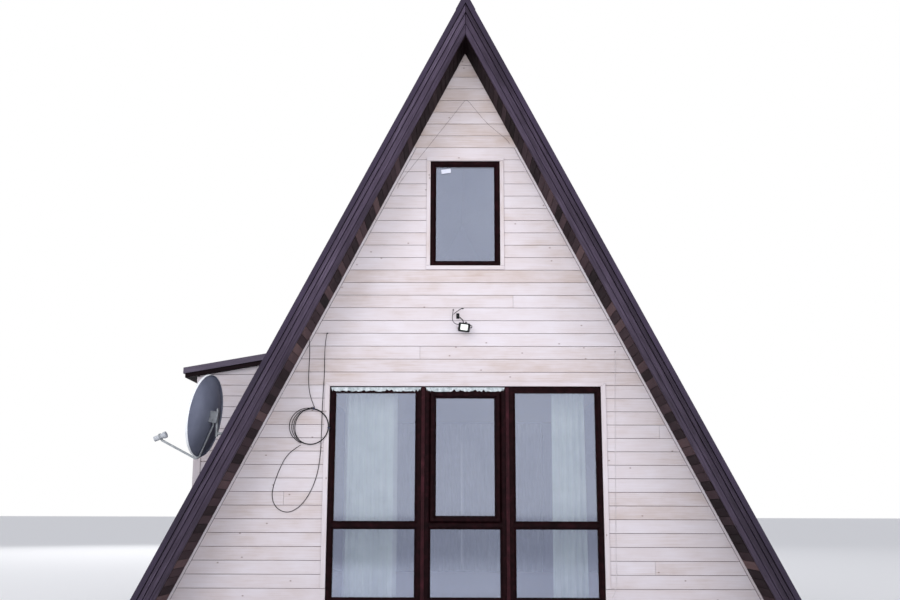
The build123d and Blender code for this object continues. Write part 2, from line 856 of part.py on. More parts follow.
horn_radius = receiver_radius + 7
with BuildPart() as dish_receiver:
    with BuildSketch(Plane.XZ):
        with BuildLine():
            Polyline(
                (0, -70),
                (receiver_radius, -70),
                (receiver_radius, 30),
                (horn_radius, 38),
                (horn_radius, 66),
                (horn_radius - 6, 70),
                (0, 70),
                close=True,
            )
        make_face()
    revolve(axis=Axis.Z)
save(receiver_plane.location * dish_receiver.part, "dish_receiver")

# Floodlight: rounded housing with its pane let into the front
lamp_back_y = front_wall_y - lamp_off_wall
lamp_front_y = lamp_back_y - lamp_depth
lamp_back_plane = Plane(
    origin=(lamp_x, lamp_back_y, lamp_z),
    x_dir=(cos(radians(lamp_tilt)), 0, sin(radians(lamp_tilt))),
    z_dir=(0, -1, 0),
)
with BuildPart() as floodlight:
    with BuildSketch(lamp_back_plane):
        RectangleRounded(lamp_width, lamp_height, 14)
    extrude(amount=lamp_depth)
    chamfer(floodlight.faces().sort_by(Axis.Y)[-1].edges(), 8)
    with BuildSketch(lamp_back_plane.offset(lamp_depth)):
        RectangleRounded(lamp_glass_width, lamp_glass_height, 6)
    extrude(amount=-lamp_glass_depth, mode=Mode.SUBTRACT)
save(floodlight.part, "floodlight")

with BuildPart() as floodlight_glass:
    with BuildSketch(lamp_back_plane.offset(lamp_depth)):
        RectangleRounded(lamp_glass_width, lamp_glass_height, 6)
    extrude(amount=-lamp_glass_depth)
save(floodlight_glass.part, "floodlight_glass")

lamp_mid_y = (lamp_back_y + lamp_front_y) / 2
with BuildPart() as floodlight_bracket:
    with BuildLine() as rod:
        FilletPolyline(
            (lamp_foot_x, front_wall_y - 4, lamp_foot_z),
            (lamp_foot_x, front_wall_y - 45, lamp_foot_z - 2),
            (lamp_x - 12, lamp_mid_y, lamp_z + 78),
            (lamp_x - 8, lamp_mid_y, lamp_z + lamp_height / 2 + 3.2),
            radius=(14, 9),
        )
    with BuildSketch(Plane(origin=rod.line @ 0, z_dir=rod.line % 0)):
        Circle(lamp_rod)
    sweep()
    with BuildSketch(Plane.XZ.offset(-front_wall_y)):
        with Locations((lamp_foot_x, lamp_foot_z)):
            RectangleRounded(lamp_foot_width, lamp_foot_height, 6)
    extrude(amount=5)
save(floodlight_bracket.part, "floodlight_bracket")


# Cables: straight runs joined by tangent arcs
def bend_radii(points):
    spots = [Vector(point) for point in points]
    radii = []
    for before, here, after in zip(spots, spots[1:], spots[2:]):
        turn_angle = (here - before).get_angle(after - here)
        shorter = min((here - before).length, (after - here).length)
        radii.append(0.45 * shorter / tan(radians(turn_angle) / 2))
    return radii


hang_y = front_wall_y - trim_thickness - coil_bundle - seat_gap
loop_y = front_wall_y - loop_lift
wire_y = front_wall_y - wire_lift
drop_route = [
    (-1676, hang_y, 3239.5),
    (-1668, hang_y, 3150),
    (-1666, hang_y, 3040),
    (-1669, hang_y, 2930),
    (-1671, hang_y, 2820),
    (-1665, hang_y, 2710),
    (-1645, hang_y, 2602),
    (-1601, hang_y, 2499),
]
loop_route = [
    (-1483, front_wall_y, 3296),
    (-1483, front_wall_y - 40, 3296),
    (-1485, front_wall_y - 71, 3268),
    (-1490, front_wall_y - 80, 3218),
    (-1497, front_wall_y - 70, 3150),
    (-1502, front_wall_y - 48, 3070),
    (-1505, front_wall_y - 24, 2985),
    (-1505.5, loop_y, 2895),
    (-1507, loop_y, 2800),
    (-1512, loop_y, 2692),
    (-1516, loop_y, 2586),
    (-1518, loop_y, 2486),
    (-1519.5, loop_y, 2386),
    (-1520, loop_y, 2285),
    (-1521, loop_y, 2184),
    (-1523, loop_y, 2084),
    (-1528, loop_y, 1984),
    (-1538, loop_y, 1885),
    (-1557, loop_y, 1786),
    (-1587, loop_y, 1690),
    (-1628, loop_y, 1599),
    (-1682, loop_y, 1514),
    (-1752, loop_y, 1442),
    (-1841, loop_y, 1400),
    (-1934, loop_y, 1420),
    (-2002, loop_y, 1488),
    (-2024, loop_y, 1584),
    (-2008, loop_y, 1682),
    (-1977, loop_y, 1777),
    (-1942, loop_y - 1, 1871),
    (-1897, loop_y - 5, 1960),
    (-1834, loop_y - 12, 2037),
    (-1734, hang_y, 2099),
]
lamp_lead_route = [
    (-129, front_wall_y, 3556),
    (-129, front_wall_y - 40, 3556),
    (-131, front_wall_y - 72, 3528),
    (-137, front_wall_y - 80, 3482),
    (-140, lamp_mid_y + 11, 3440),
    (-126, lamp_mid_y + 5, 3402),
    (-95, lamp_mid_y + 1, 3381),
    (-72, lamp_mid_y, 3380),
]
lamp_spur_route = [
    (-25, front_wall_y, 3570),
    (-25, front_wall_y - 38, 3570),
    (-46, front_wall_y - 62, 3556),
    (-88, front_wall_y - 68, 3528),
    (-128, front_wall_y - 66, 3494),
]
pale_route = [
    (1606, front_wall_y, 3100),
    (1606, front_wall_y - 20, 3100),
    (1606, front_wall_y - 35, 3086),
    (1605, front_wall_y - 37, 3060),
    (1603, front_wall_y - 30, 3016),
    (1600, front_wall_y - 16, 2940),
    (1596, front_wall_y - 6, 2800),
    (1588, front_wall_y - 4, 2500),
    (1579, front_wall_y - 4.5, 1950),
    (1567, front_wall_y - 5, 1450),
    (1561, front_wall_y - 6, 1150),
    (1557, front_wall_y - 8, 950),
    (1556, front_wall_y - 9, 850),
    (1556, front_wall_y - 10, 780),
    (1554, front_wall_y - 14, 721),
    (1547, front_wall_y - 20, 664),
    (1532, front_wall_y - 29, 610),
    (1508, front_wall_y - 40, 562),
    (1480, front_wall_y - 50, 524),
    (1457, front_wall_y - 52, 495),
    (1445, front_wall_y - 42, 480),
    (1438, front_wall_y - 23, 471),
    (1438, front_wall_y, 471),
]
wire_route = [
    (-748, wire_y, 4925),
    (-735, wire_y, 4975),
    (-690, wire_y, 5042),
    (-600, wire_y, 5163),
    (-420, wire_y, 5400),
    (-240, wire_y, 5640),
    (-130, wire_y, 5785),
    (-60, wire_y, 5881),
    (-14, wire_y, 5944),
    (10, wire_y, 5960),
    (38, wire_y, 5948),
    (90, wire_y, 5880),
    (155, wire_y, 5796),
    (235, wire_y, 5695),
    (340, wire_y, 5600),
    (440, wire_y, 5515),
    (482, wire_y, 5472),
    (497, wire_y, 5443),
]
cords = (
    ("antenna_cable_drop", cable_diameter, drop_route),
    ("antenna_cable_loop", cable_diameter, loop_route),
    ("floodlight_lead", cable_diameter, lamp_lead_route),
    ("floodlight_spur", cable_diameter, lamp_spur_route),
    ("pale_cable", 4, pale_route),
    ("apex_wire", 3, wire_route),
)
for label, diameter, points in cords:
    with BuildPart() as cord:
        with BuildLine() as route:
            FilletPolyline(*points, radius=bend_radii(points))
        with BuildSketch(Plane(origin=route.line @ 0, z_dir=route.line % 0)):
            Circle(diameter / 2)
        sweep()
    save(cord.part, label)
    run_length = sum(edge.length for edge in route.edges())
    by_volume = cord.part.volume / (pi * (diameter / 2) ** 2)
    print(label, "length", round(run_length), "by volume", round(by_volume))
    print("bend radii", [round(radius) for radius in bend_radii(points)])

with BuildPart() as cable_coil:
    with BuildSketch(Plane.XY.offset(coil_z)):
        with Locations((coil_x + coil_ring, hang_y)):
            Circle(coil_bundle)
    revolve(axis=Axis((coil_x, hang_y, coil_z), (0, 1, 0)))
save(cable_coil.part, "antenna_cable_coil")

with BuildPart() as cable_glands:
    for diameter, points in (
        (cable_diameter, loop_route),
        (cable_diameter, lamp_lead_route),
        (cable_diameter, lamp_spur_route),
        (4, pale_route),
    ):
        with BuildSketch(Plane.XZ.offset(-front_wall_y)):
            with Locations((points[0][0], points[0][2])):
                Circle(diameter / 2 + gland_wall)
                Circle(diameter / 2 + 2 * seat_gap, mode=Mode.SUBTRACT)
        extrude(amount=gland_reach)
save(cable_glands.part, "cable_glands")

# Curtains on tracks under the loft floor, drawn together at the back
curtain_y = front_wall_y + wall_thickness + curtain_off_wall
with BuildPart() as curtain_track:
    for facing in (-1, 1):
        with BuildSketch(gable_plane(-facing * curtain_y + track_depth / 2)):
            track_bottom = loft_floor_bottom - track_height
            upright_slab(0, track_bottom, 2 * track_half_length, track_height)
        extrude(amount=track_depth)
save(curtain_track.part, "curtain_track")

curtain_bottom = floor_top + curtain_bottom_gap
curtain_height = track_bottom - seat_gap - curtain_bottom
back_curtain_x = (back_curtain_width + back_curtain_gap) / 2
for gable, facing, panels in (
    ("front", -1, (
        (left_curtain_x, left_curtain_width),
        (right_curtain_x, right_curtain_width),
    )),
    ("back", 1, (
        (-back_curtain_x, back_curtain_width),
        (back_curtain_x, back_curtain_width),
    )),
):
    with BuildPart() as curtains:
        with BuildSketch(gable_plane(-facing * curtain_y + curtain_thickness / 2)):
            for centre_x, width in panels:
                upright_slab(centre_x, curtain_bottom, width, curtain_height)
        extrude(amount=curtain_thickness)
    save(curtains.part, gable + "_curtains")
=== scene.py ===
import math
import random

import bmesh
import bpy
from mathutils import Matrix, Vector


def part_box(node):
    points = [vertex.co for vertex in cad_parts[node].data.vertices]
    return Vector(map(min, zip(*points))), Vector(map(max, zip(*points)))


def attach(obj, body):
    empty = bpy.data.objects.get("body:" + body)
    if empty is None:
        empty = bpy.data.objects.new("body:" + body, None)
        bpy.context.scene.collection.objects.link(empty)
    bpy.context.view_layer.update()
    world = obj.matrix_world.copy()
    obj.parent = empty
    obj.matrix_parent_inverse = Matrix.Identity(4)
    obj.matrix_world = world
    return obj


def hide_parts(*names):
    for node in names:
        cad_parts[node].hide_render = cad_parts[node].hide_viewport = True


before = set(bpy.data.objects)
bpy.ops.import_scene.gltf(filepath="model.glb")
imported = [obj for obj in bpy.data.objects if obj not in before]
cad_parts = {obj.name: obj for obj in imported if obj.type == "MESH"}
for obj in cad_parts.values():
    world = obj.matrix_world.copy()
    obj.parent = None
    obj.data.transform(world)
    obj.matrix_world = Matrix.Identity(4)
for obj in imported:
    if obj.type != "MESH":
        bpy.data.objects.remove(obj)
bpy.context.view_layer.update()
print("frame loaded")


def placeObject(name, data):
    placed = bpy.data.objects.new(name, data)
    bpy.context.collection.objects.link(placed)
    return placed


# The camera stands in front of the cabin, a little left of the middle, and looks up.
cameraLook = {
    "place": (-0.093, -14.981, 1.408),
    "turnLeft": 0.367,
    "lookUp": 11.362,
    "roll": 0.152,
    "lens": 42.275,
}


def aimCamera(look):
    yaw, pitch, roll = (math.radians(look[key]) for key in ("turnLeft", "lookUp", "roll"))
    ahead = Vector((-math.sin(yaw) * math.cos(pitch), math.cos(yaw) * math.cos(pitch), math.sin(pitch)))
    side = Vector((math.cos(yaw), math.sin(yaw), 0))
    top = side.cross(ahead)
    right = side * math.cos(roll) + top * math.sin(roll)
    up = top * math.cos(roll) - side * math.sin(roll)
    data = bpy.data.cameras.new("camera")
    data.lens = look["lens"]
    data.sensor_width = 36
    data.clip_end = 900
    camera = placeObject("camera", data)
    turned = Matrix((right, up, -ahead)).transposed().to_4x4()
    camera.matrix_world = Matrix.Translation(look["place"]) @ turned
    bpy.context.scene.camera = camera


aimCamera(cameraLook)
bpy.context.scene.view_settings.view_transform = "Standard"

# Sizes of the cabin that the pieces share, in metres
roofRun = 0.5104    # how far the roof comes in for each metre up
halfAngle = math.atan(roofRun)
ridgeZ = 7.010
roofDepth = 0.218
panelTop = 0.044
wallY = 3.75
rakeY = 4.24
foundationTop = 0.25
floorTop = 0.41
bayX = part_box("bay_side_wall")[0][0]
bayHalf = 1.35
gables = (("front", -1), ("back", 1))
roofEdges = [(facing, side) for facing in (-1, 1) for side in (-1, 1)]


def apexZ(depth):
    return ridgeZ - depth / math.sin(halfAngle)


def roofX(depth, z):
    return roofRun * (apexZ(depth) - z)


def slopeAlong(side):
    return Vector((side * math.sin(halfAngle), 0, -math.cos(halfAngle)))


# Materials: each starts from what the real surface is.
def toLinear(hexColour):
    channels = [int(hexColour[i:i + 2], 16) / 255 for i in (1, 3, 5)]
    return tuple(c / 12.92 if c <= 0.04045 else ((c + 0.055) / 1.055) ** 2.4 for c in channels) + (1.0,)


def addNode(owner, kind, settings=None, links=None, stops=None):
    # settings go to a socket of that name or number, or else to a property of the node
    node = owner.node_tree.nodes.new(kind)
    for key, value in (settings or {}).items():
        if isinstance(key, int) or key in node.inputs:
            node.inputs[key].default_value = value
        else:
            setattr(node, key, value)
    for key, source in (links or {}).items():
        owner.node_tree.links.new(source, node.inputs[key])
    if stops:
        ramp = node.color_ramp
        while len(ramp.elements) < len(stops):
            ramp.elements.new(0.5)
        for element, (place, colour) in zip(ramp.elements, stops.items()):
            element.position = place
            element.color = toLinear(colour)
    return node


def newMaterial(name):
    material = bpy.data.materials.new(name)
    material.use_nodes = True
    material.node_tree.nodes.clear()
    return material


def finishSurface(material, look, colour, height, drift):
    # Every finish ends in a relief, a gloss that drifts a little, and the shader. Noise lies in 0.3 to 0.7.
    bump = addNode(material, "ShaderNodeBump", {"Strength": look["relief"], "Distance": look["reliefDepth"]},
                   {"Height": height})
    rough = addNode(material, "ShaderNodeMapRange",
                    {"From Min": 0.3, "From Max": 0.7, "To Min": look["roughness"] - look["roughDrift"],
                     "To Max": look["roughness"] + look["roughDrift"]}, {"Value": drift})
    shader = addNode(material, "ShaderNodeBsdfPrincipled",
                     {"Metallic": look["metallic"], "Specular IOR Level": look["specular"],
                      "Alpha": look["alpha"], "Sheen Weight": look["sheen"],
                      "Coat Weight": look["coat"], "Coat Roughness": look["coatRoughness"]},
                     {"Base Color": colour, "Roughness": rough.outputs[0], "Normal": bump.outputs[0]})
    addNode(material, "ShaderNodeOutputMaterial", links={"Surface": shader.outputs[0]})
    return material


# What most finishes have, sizes in metres: a material below says only where it differs.
usualSurface = {"metallic": 0.0, "specular": 0.5, "alpha": 1.0, "sheen": 0.0, "coat": 0.0,
                "coatRoughness": 0.12, "driftSize": 0.05, "grainSize": 0.002,
                "relief": 0.1, "reliefDepth": 0.0004, "roughness": 0.5, "roughDrift": 0.05}
usualWood = {**usualSurface, "cloud": 0.8, "cloudShape": 2.2, "reliefDepth": 0.0012, "roughDrift": 0.08,
             "knotSpacing": (0.8, 0.5), "knotSize": 0.022,
             "fibre": (0.09, 0.0022)}    # too fine for the picture, but it breaks up the gloss


def sawnWood(name, look):
    # Boards carry a map in metres: u runs along the grain and v across it.
    look = {**usualWood, **look}
    material = newMaterial(name)
    onGrain = {"Vector": addNode(material, "ShaderNodeUVMap", {"uv_map": "grain"}).outputs[0]}
    sources = {"tone": addNode(material, "ShaderNodeAttribute", {"attribute_name": "tone"}).outputs["Fac"]}
    patterns = (("streak", look["streak"], "Noise", {"Detail": 5.0, "Roughness": 0.62, "Distortion": 0.35}),
                ("cloud", (look["cloud"], look["cloud"] / look["cloudShape"]), "Noise",
                 {"Detail": 3.0, "Roughness": 0.55}),
                ("knot", look["knotSpacing"], "Voronoi", {"voronoi_dimensions": "2D", "Randomness": 1.0}),
                ("fibre", look["fibre"], "Noise", {"Detail": 2.0}))
    for part, (long, wide), kind, settings in patterns:
        stretched = addNode(material, "ShaderNodeMapping", {"Scale": (1 / long, 1 / wide, 1)}, onGrain)
        pattern = addNode(material, "ShaderNodeTex" + kind, {"Scale": 1.0, **settings},
                          {"Vector": stretched.outputs[0]})
        sources[part] = pattern.outputs["Distance" if part == "knot" else 0]
    # the board's tone, clouds of finish and streaks of grain add up to one grade, about a half
    shares = {part: look[part + "Share"] for part in ("tone", "cloud", "streak")}
    total = 0.5 - 0.5 * sum(shares.values())
    grade = None
    for part, share in shares.items():
        grade = addNode(material, "ShaderNodeMath",
                        {"operation": "MULTIPLY_ADD", "use_clamp": part == "streak", 1: share, 2: total},
                        {0: sources[part], **({2: grade.outputs[0]} if grade else {})})
    finish = addNode(material, "ShaderNodeValToRGB", links={"Fac": grade.outputs[0]}, stops=look["grades"])
    # knots are sparse ovals with a darker heart
    knotShape = addNode(material, "ShaderNodeMapRange",
                        {"From Min": look["knotSize"], "From Max": 0.0, "To Min": 0.0,
                         "To Max": look["knotStrength"]}, {"Value": sources["knot"]})
    finished = addNode(material, "ShaderNodeMix", {"data_type": "RGBA", 7: toLinear(look["knotColour"])},
                       {0: knotShape.outputs[0], 6: finish.outputs[0]})
    height = addNode(material, "ShaderNodeMath", {"operation": "MULTIPLY_ADD", 1: 0.6},
                     {0: sources["fibre"], 2: sources["streak"]})
    return finishSurface(material, look, finished.outputs[2], height.outputs[0], sources["streak"])


def evenSurface(name, look):
    # Paint, plastic, metal and stone: a colour that drifts and a fine relief, from object coordinates
    look = {**usualSurface, **look}
    material = newMaterial(name)
    onObject = {"Vector": addNode(material, "ShaderNodeTexCoord").outputs["Object"]}
    drift = addNode(material, "ShaderNodeTexNoise",
                    {"Scale": 1 / look["driftSize"], "Detail": 4.0, "Roughness": 0.6}, onObject)
    colour = addNode(material, "ShaderNodeValToRGB", links={"Fac": drift.outputs[0]}, stops=look["grades"])
    fine = addNode(material, "ShaderNodeTexNoise", {"Scale": 1 / look["grainSize"], "Detail": 3.0}, onObject)
    return finishSurface(material, look, colour.outputs[0], fine.outputs[0], drift.outputs[0])


# Planed spruce under a thin white glaze: pale and faintly pink, the grain and knots show through tan.
whitewashedSpruce = sawnWood("whitewashedSpruceBoards", {
    "streak": (0.42, 0.011),     # growth rings cut along the board, drawn coarse to show at this distance
    "cloud": 0.45, "toneShare": 0.36, "cloudShare": 0.75, "streakShare": 0.6,
    "grades": {0.0: "#A08A80", 0.25: "#B5A7A4", 0.5: "#C3BABE", 0.75: "#CAC4CB", 1.0: "#D0CBD3"},
    "knotSpacing": (0.62, 0.40), "knotSize": 0.024, "knotStrength": 0.9, "knotColour": "#5F463B",
    "relief": 0.35, "roughness": 0.56})

# The rebate behind each board's edge, seen in the joints: wood coloured dark brown as painted shade of the
# deep joints.
rebatePaintedShade = sawnWood("boardRebatePaintedShade", {
    "streak": (0.4, 0.011), "toneShare": 0.2, "cloudShare": 0.4, "streakShare": 0.4,
    "grades": {0.0: "#3A2C2C", 0.5: "#4E3F3F", 1.0: "#655453"},
    "knotSpacing": (0.85, 0.52), "knotSize": 0.02, "knotStrength": 0.5, "knotColour": "#2A1F1D",
    "relief": 0.3, "roughness": 0.7})

# Rough planks under a dark stain gone violet in the weather, with paler rubbed streaks.
weatheredStain = sawnWood("weatheredDarkStainedPlanks", {
    "streak": (0.30, 0.012), "cloud": 0.7, "toneShare": 0.3, "cloudShare": 0.5, "streakShare": 0.9,
    "grades": {0.0: "#0D0910", 0.35: "#251C2A", 0.6: "#3D3344", 0.85: "#5D5265", 1.0: "#776C7F"},
    "knotStrength": 0.7, "knotColour": "#0C080C", "relief": 0.7, "specular": 0.3})

# The bay's edge boards lie open to the sky, where the stain has bleached to a grey violet.
bleachedStain = sawnWood("bleachedDarkStainedEdgeBoards", {
    "streak": (0.30, 0.012), "cloud": 0.7, "toneShare": 0.2, "cloudShare": 0.5, "streakShare": 0.7,
    "grades": {0.0: "#2C2631", 0.35: "#494150", 0.6: "#5D5565", 0.85: "#756C7D", 1.0: "#8A8292"},
    "knotStrength": 0.5, "knotColour": "#201A22", "relief": 0.6, "specular": 0.3})

# Soffit boards under the same stain, kept from the rain, so browner and even.
shelteredStain = sawnWood("shelteredDarkStainedBoards", {
    "streak": (0.34, 0.010), "toneShare": 0.75, "cloudShare": 0.35, "streakShare": 0.5,
    "grades": {0.0: "#0B0708", 0.35: "#261B1F", 0.65: "#433439", 1.0: "#6A5454"},
    "knotSpacing": (0.7, 0.5), "knotStrength": 0.6, "knotColour": "#080506",
    "relief": 0.5, "roughness": 0.7, "specular": 0.06})

# Powdery polyester paint baked on folded steel sheet: dull, even, faintly orange peeled.
coatedSteel = evenSurface("polyesterCoatedSteelSheet", {
    "grades": {0.25: "#1E1626", 0.55: "#2B2135", 0.8: "#3A2E44"}, "driftSize": 0.9, "specular": 0.35,
    "grainSize": 0.02, "relief": 0.12, "reliefDepth": 0.001, "roughness": 0.42, "roughDrift": 0.06})

# Extruded hollow plastic under an embossed mahogany foil: deep red brown with a soft shine.
mahoganyFoil = evenSurface("mahoganyFoilOnExtrudedPlastic", {
    "grades": {0.3: "#0D0305", 0.5: "#150609", 0.75: "#230C11"}, "specular": 0.06,
    "grainSize": 0.004, "relief": 0.25, "reliefDepth": 0.0006, "roughness": 0.45, "roughDrift": 0.06})

# The same plastic, bare and rubbed on the coupling strips: a shade lighter.
couplingFoil = evenSurface("rubbedMahoganyFoilStrip", {
    "grades": {0.3: "#1D070C", 0.55: "#2A0D14", 0.8: "#3E1A23"}, "driftSize": 0.08, "specular": 0.12,
    "grainSize": 0.004, "relief": 0.2, "reliefDepth": 0.0006, "roughness": 0.42})

# Extruded rubber: black, dull and soft edged.
blackRubber = evenSurface("extrudedBlackRubber", {
    "grades": {0.3: "#0E0E10", 0.7: "#1A1A1D"}, "roughness": 0.62})

# Float glass, coated: it holds a cool veil of the pale sky over a dark room.
coatedGlass = evenSurface("coatedFloatGlass", {
    "grades": {0.3: "#C6CEE7", 0.7: "#CFD7EE"}, "driftSize": 0.8, "metallic": 1.0, "alpha": 0.35,
    "grainSize": 0.5, "relief": 0.006, "reliefDepth": 0.002, "roughness": 0.04, "roughDrift": 0.01})

# Woven polyester voile, machine hemmed: white with a green cast, soft folds.
curtainVoile = evenSurface("wovenPolyesterVoile", {
    "grades": {0.3: "#BBCBBF", 0.7: "#DCE7DD"}, "driftSize": 0.25, "sheen": 0.25,
    "grainSize": 0.003, "relief": 0.3, "reliefDepth": 0.0006, "roughness": 0.8})

# Cast concrete, struck from boards: grey, pocked and a little stained.
castConcrete = evenSurface("castConcrete", {
    "grades": {0.2: "#77736E", 0.5: "#8F8B85", 0.8: "#A6A29B"}, "driftSize": 0.35,
    "grainSize": 0.012, "relief": 0.6, "reliefDepth": 0.003, "roughness": 0.85, "roughDrift": 0.06})

# Planed pine under clear varnish: warm and satin, seen only through the panes.
varnishedPine = evenSurface("varnishedPineLining", {
    "grades": {0.2: "#9C7A50", 0.5: "#B08C5F", 0.8: "#C29E70"}, "driftSize": 0.3,
    "grainSize": 0.006, "relief": 0.2, "reliefDepth": 0.0008, "roughness": 0.4, "roughDrift": 0.06})

# Roof deck under the sheets, brushed with the dark stain on every side.
stainedDeck = evenSurface("darkStainedRoofDeck", {
    "grades": {0.3: "#1A1319", 0.7: "#2B2029"}, "driftSize": 0.3, "specular": 0.2,
    "grainSize": 0.006, "relief": 0.3, "reliefDepth": 0.0008, "roughness": 0.6, "roughDrift": 0.06})

# Pressed steel dish, primed and painted blue grey on its back.
dishPaint = evenSurface("blueGreyPaintedPressedSteel", {
    "grades": {0.25: "#6E7386", 0.55: "#81869A", 0.85: "#959AAD"}, "driftSize": 0.3,
    "grainSize": 0.004, "relief": 0.12, "reliefDepth": 0.0006, "roughness": 0.45, "roughDrift": 0.08})

# Folded steel lip, painted light grey: a painted highlight where the rim catches the sky.
lipPaintedHighlight = evenSurface("dishLipPaintedHighlight", {
    "grades": {0.25: "#CFD3D9", 0.6: "#E0E3E8", 0.85: "#EAECF0"}, "driftSize": 0.2,
    "grainSize": 0.004, "reliefDepth": 0.0006, "roughness": 0.4, "roughDrift": 0.06})

# Hot dip zinc on rolled steel: mottled grey, dull.
galvanisedSteel = evenSurface("hotDipGalvanisedSteel", {
    "grades": {0.3: "#8F9499", 0.5: "#A8ACB1", 0.75: "#BCC0C4"}, "driftSize": 0.03, "metallic": 0.85,
    "grainSize": 0.006, "relief": 0.2, "reliefDepth": 0.0006, "roughDrift": 0.1})

# Moulded ABS that has greyed outdoors.
mouldedAbs = evenSurface("mouldedGreyedAbs", {
    "grades": {0.3: "#9EA2A8", 0.7: "#BDC0C6"}, "driftSize": 0.06, "grainSize": 0.003, "reliefDepth": 0.0005})

# Die cast aluminium, powder coated black: fine sparkle, soft sheen.
blackCasting = evenSurface("powderCoatedDieCastAluminium", {
    "grades": {0.3: "#0A0B0D", 0.7: "#15171A"}, "driftSize": 0.03, "specular": 0.25,
    "grainSize": 0.0015, "relief": 0.25, "roughness": 0.46, "roughDrift": 0.06})

# Extruded PVC sheath, black: smooth with a dull shine.
blackSheath = evenSurface("extrudedBlackPvcSheath", {
    "grades": {0.3: "#08080A", 0.7: "#121216"}, "specular": 0.2, "relief": 0.08})

# Extruded PVC sheath, pale grey, almost lost against the boards.
paleSheath = evenSurface("extrudedPaleGreyPvcSheath", {
    "grades": {0.3: "#B9B3B6", 0.7: "#CDC8CC"}, "relief": 0.08})

# Thin rubber sheath, brown black.
wireSheath = evenSurface("thinBrownBlackRubberSheath", {
    "grades": {0.3: "#2A1F20", 0.7: "#3B2D2E"}, "relief": 0.08, "roughness": 0.55})

# Nylon cable tie, dark blue.
blueNylon = evenSurface("mouldedDarkBlueNylon", {
    "grades": {0.3: "#1B2440", 0.7: "#2B3658"}, "driftSize": 0.01,
    "grainSize": 0.001, "reliefDepth": 0.0003, "roughness": 0.45, "roughDrift": 0.04})

# Toughened pane over a white reflector: bright, faintly green.
lampPane = evenSurface("toughenedPaneOverReflector", {
    "grades": {0.3: "#DDE6DF", 0.7: "#EDF3EE"}, "coat": 1.0,
    "grainSize": 0.004, "relief": 0.05, "roughness": 0.15, "roughDrift": 0.03})

# Thin peel off film left on the new frames, milky and crinkled.
peelFilm = evenSurface("milkyPeelOffFilm", {
    "grades": {0.3: "#7C878C", 0.5: "#A9B2B7", 0.7: "#CCD1D6"}, "driftSize": 0.03,
    "grainSize": 0.012, "relief": 0.6, "reliefDepth": 0.002, "roughness": 0.4, "roughDrift": 0.08})

# Blank coated paper: matt white paper, coloured a cool blue grey as painted shade and sky light on it.
blankPaper = evenSurface("blankCoatedPaper", {
    "grades": {0.3: "#C3C6D6", 0.7: "#CFD1DE"}, "driftSize": 0.02,
    "reliefDepth": 0.0003, "roughness": 0.55, "roughDrift": 0.04})
print("materials made")


# Making pieces: boards are prisms that carry their own grain map and tone.
def newStock():
    return {"points": [], "faces": [], "maps": [], "tones": []}


def addFace(stock, indices, maps, tone):
    stock["faces"].append(indices)
    stock["maps"].append(maps)
    stock["tones"].append(tone)


def addBoard(stock, outline, push, along, tone=0.5, shift=(0.0, 0.0)):
    push, along = Vector(push), Vector(along).normalized()
    base, count = len(stock["points"]), len(outline)
    near = [Vector(point) for point in outline]
    stock["points"] += near + [point + push for point in near]
    rings = [list(range(count)), list(range(count, 2 * count))]
    rings += [[i, (i + 1) % count, (i + 1) % count + count, i + count] for i in range(count)]
    for ring in rings:
        corners = [stock["points"][base + i] for i in ring]
        normal = (corners[1] - corners[0]).cross(corners[2] - corners[1]).normalized()
        across = normal.cross(along)
        if across.length < 0.3:
            across = normal.orthogonal()
        across.normalize()
        maps = [(p.dot(along) + shift[0], p.dot(across) + shift[1]) for p in corners]
        addFace(stock, [base + i for i in ring], maps, tone)


def addUpright(stock, outline, y, deep, along=(1, 0, 0), tone=0.5, shift=(0.0, 0.0)):
    # A board drawn in x and z that starts at y.
    addBoard(stock, [(x, y, z) for x, z in outline], (0, deep, 0), along, tone, shift)


def boxOutline(left, right, low, high):
    return [(left, low), (right, low), (right, high), (left, high)]


def addRing(stock, span, profile, facing, outerY, tone=0.5):
    # A frame with mitred corners: profile gives inset from the outer edge and depth behind the face.
    left, right, low, high = span
    base, count = len(stock["points"]), len(profile)
    for inset, depth in profile:
        for x, z in boxOutline(left + inset, right - inset, low + inset, high - inset):
            stock["points"].append(Vector((x, facing * (outerY - depth), z)))
    for step in range(count):
        after = (step + 1) % count
        start = step * 0.05    # each side of the profile has its own strip of grain
        end = start + (Vector(profile[after]) - Vector(profile[step])).length
        for side in range(4):
            turn = (side + 1) % 4
            ring = [base + 4 * step + side, base + 4 * step + turn,
                    base + 4 * after + turn, base + 4 * after + side]
            corners = [stock["points"][i] for i in ring]
            along = (corners[1] - corners[0]).normalized()
            maps = [(corner.dot(along), v) for corner, v in zip(corners, (start, start, end, end))]
            addFace(stock, ring, maps, tone)


def addGrain(mesh):
    return mesh.uv_layers.new(name="grain"), mesh.attributes.new("tone", "FLOAT", "FACE")


def makePiece(name, stock, material, slotName, replaced=(), **details):
    mesh = bpy.data.meshes.new(name)
    mesh.from_pydata(stock["points"], [], stock["faces"])
    grain, tone = addGrain(mesh)
    for polygon in mesh.polygons:
        for loop, place in zip(polygon.loop_indices, stock["maps"][polygon.index]):
            grain.data[loop].uv = place
        tone.data[polygon.index].value = stock["tones"][polygon.index]
    shaped = bmesh.new()
    shaped.from_mesh(mesh)
    bmesh.ops.recalc_face_normals(shaped, faces=shaped.faces)
    shaped.to_mesh(mesh)
    shaped.free()
    return dressPiece(name, mesh, material, slotName, replaced, **details)


def dressPiece(name, data, material, slotName, replaced=(), bevel=0.0, segments=1, smooth=False):
    piece = placeObject(name, data)
    data.materials.clear()
    data.materials.append(material)
    if smooth:
        for polygon in data.polygons:
            polygon.use_smooth = True
    if bevel:
        rounding = piece.modifiers.new("easedEdges", "BEVEL")
        rounding.width = bevel
        rounding.segments = segments
        rounding.limit_method = "ANGLE"
        rounding.angle_limit = math.radians(35)
    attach(piece, "root")
    if replaced:
        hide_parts(*replaced)
    return piece


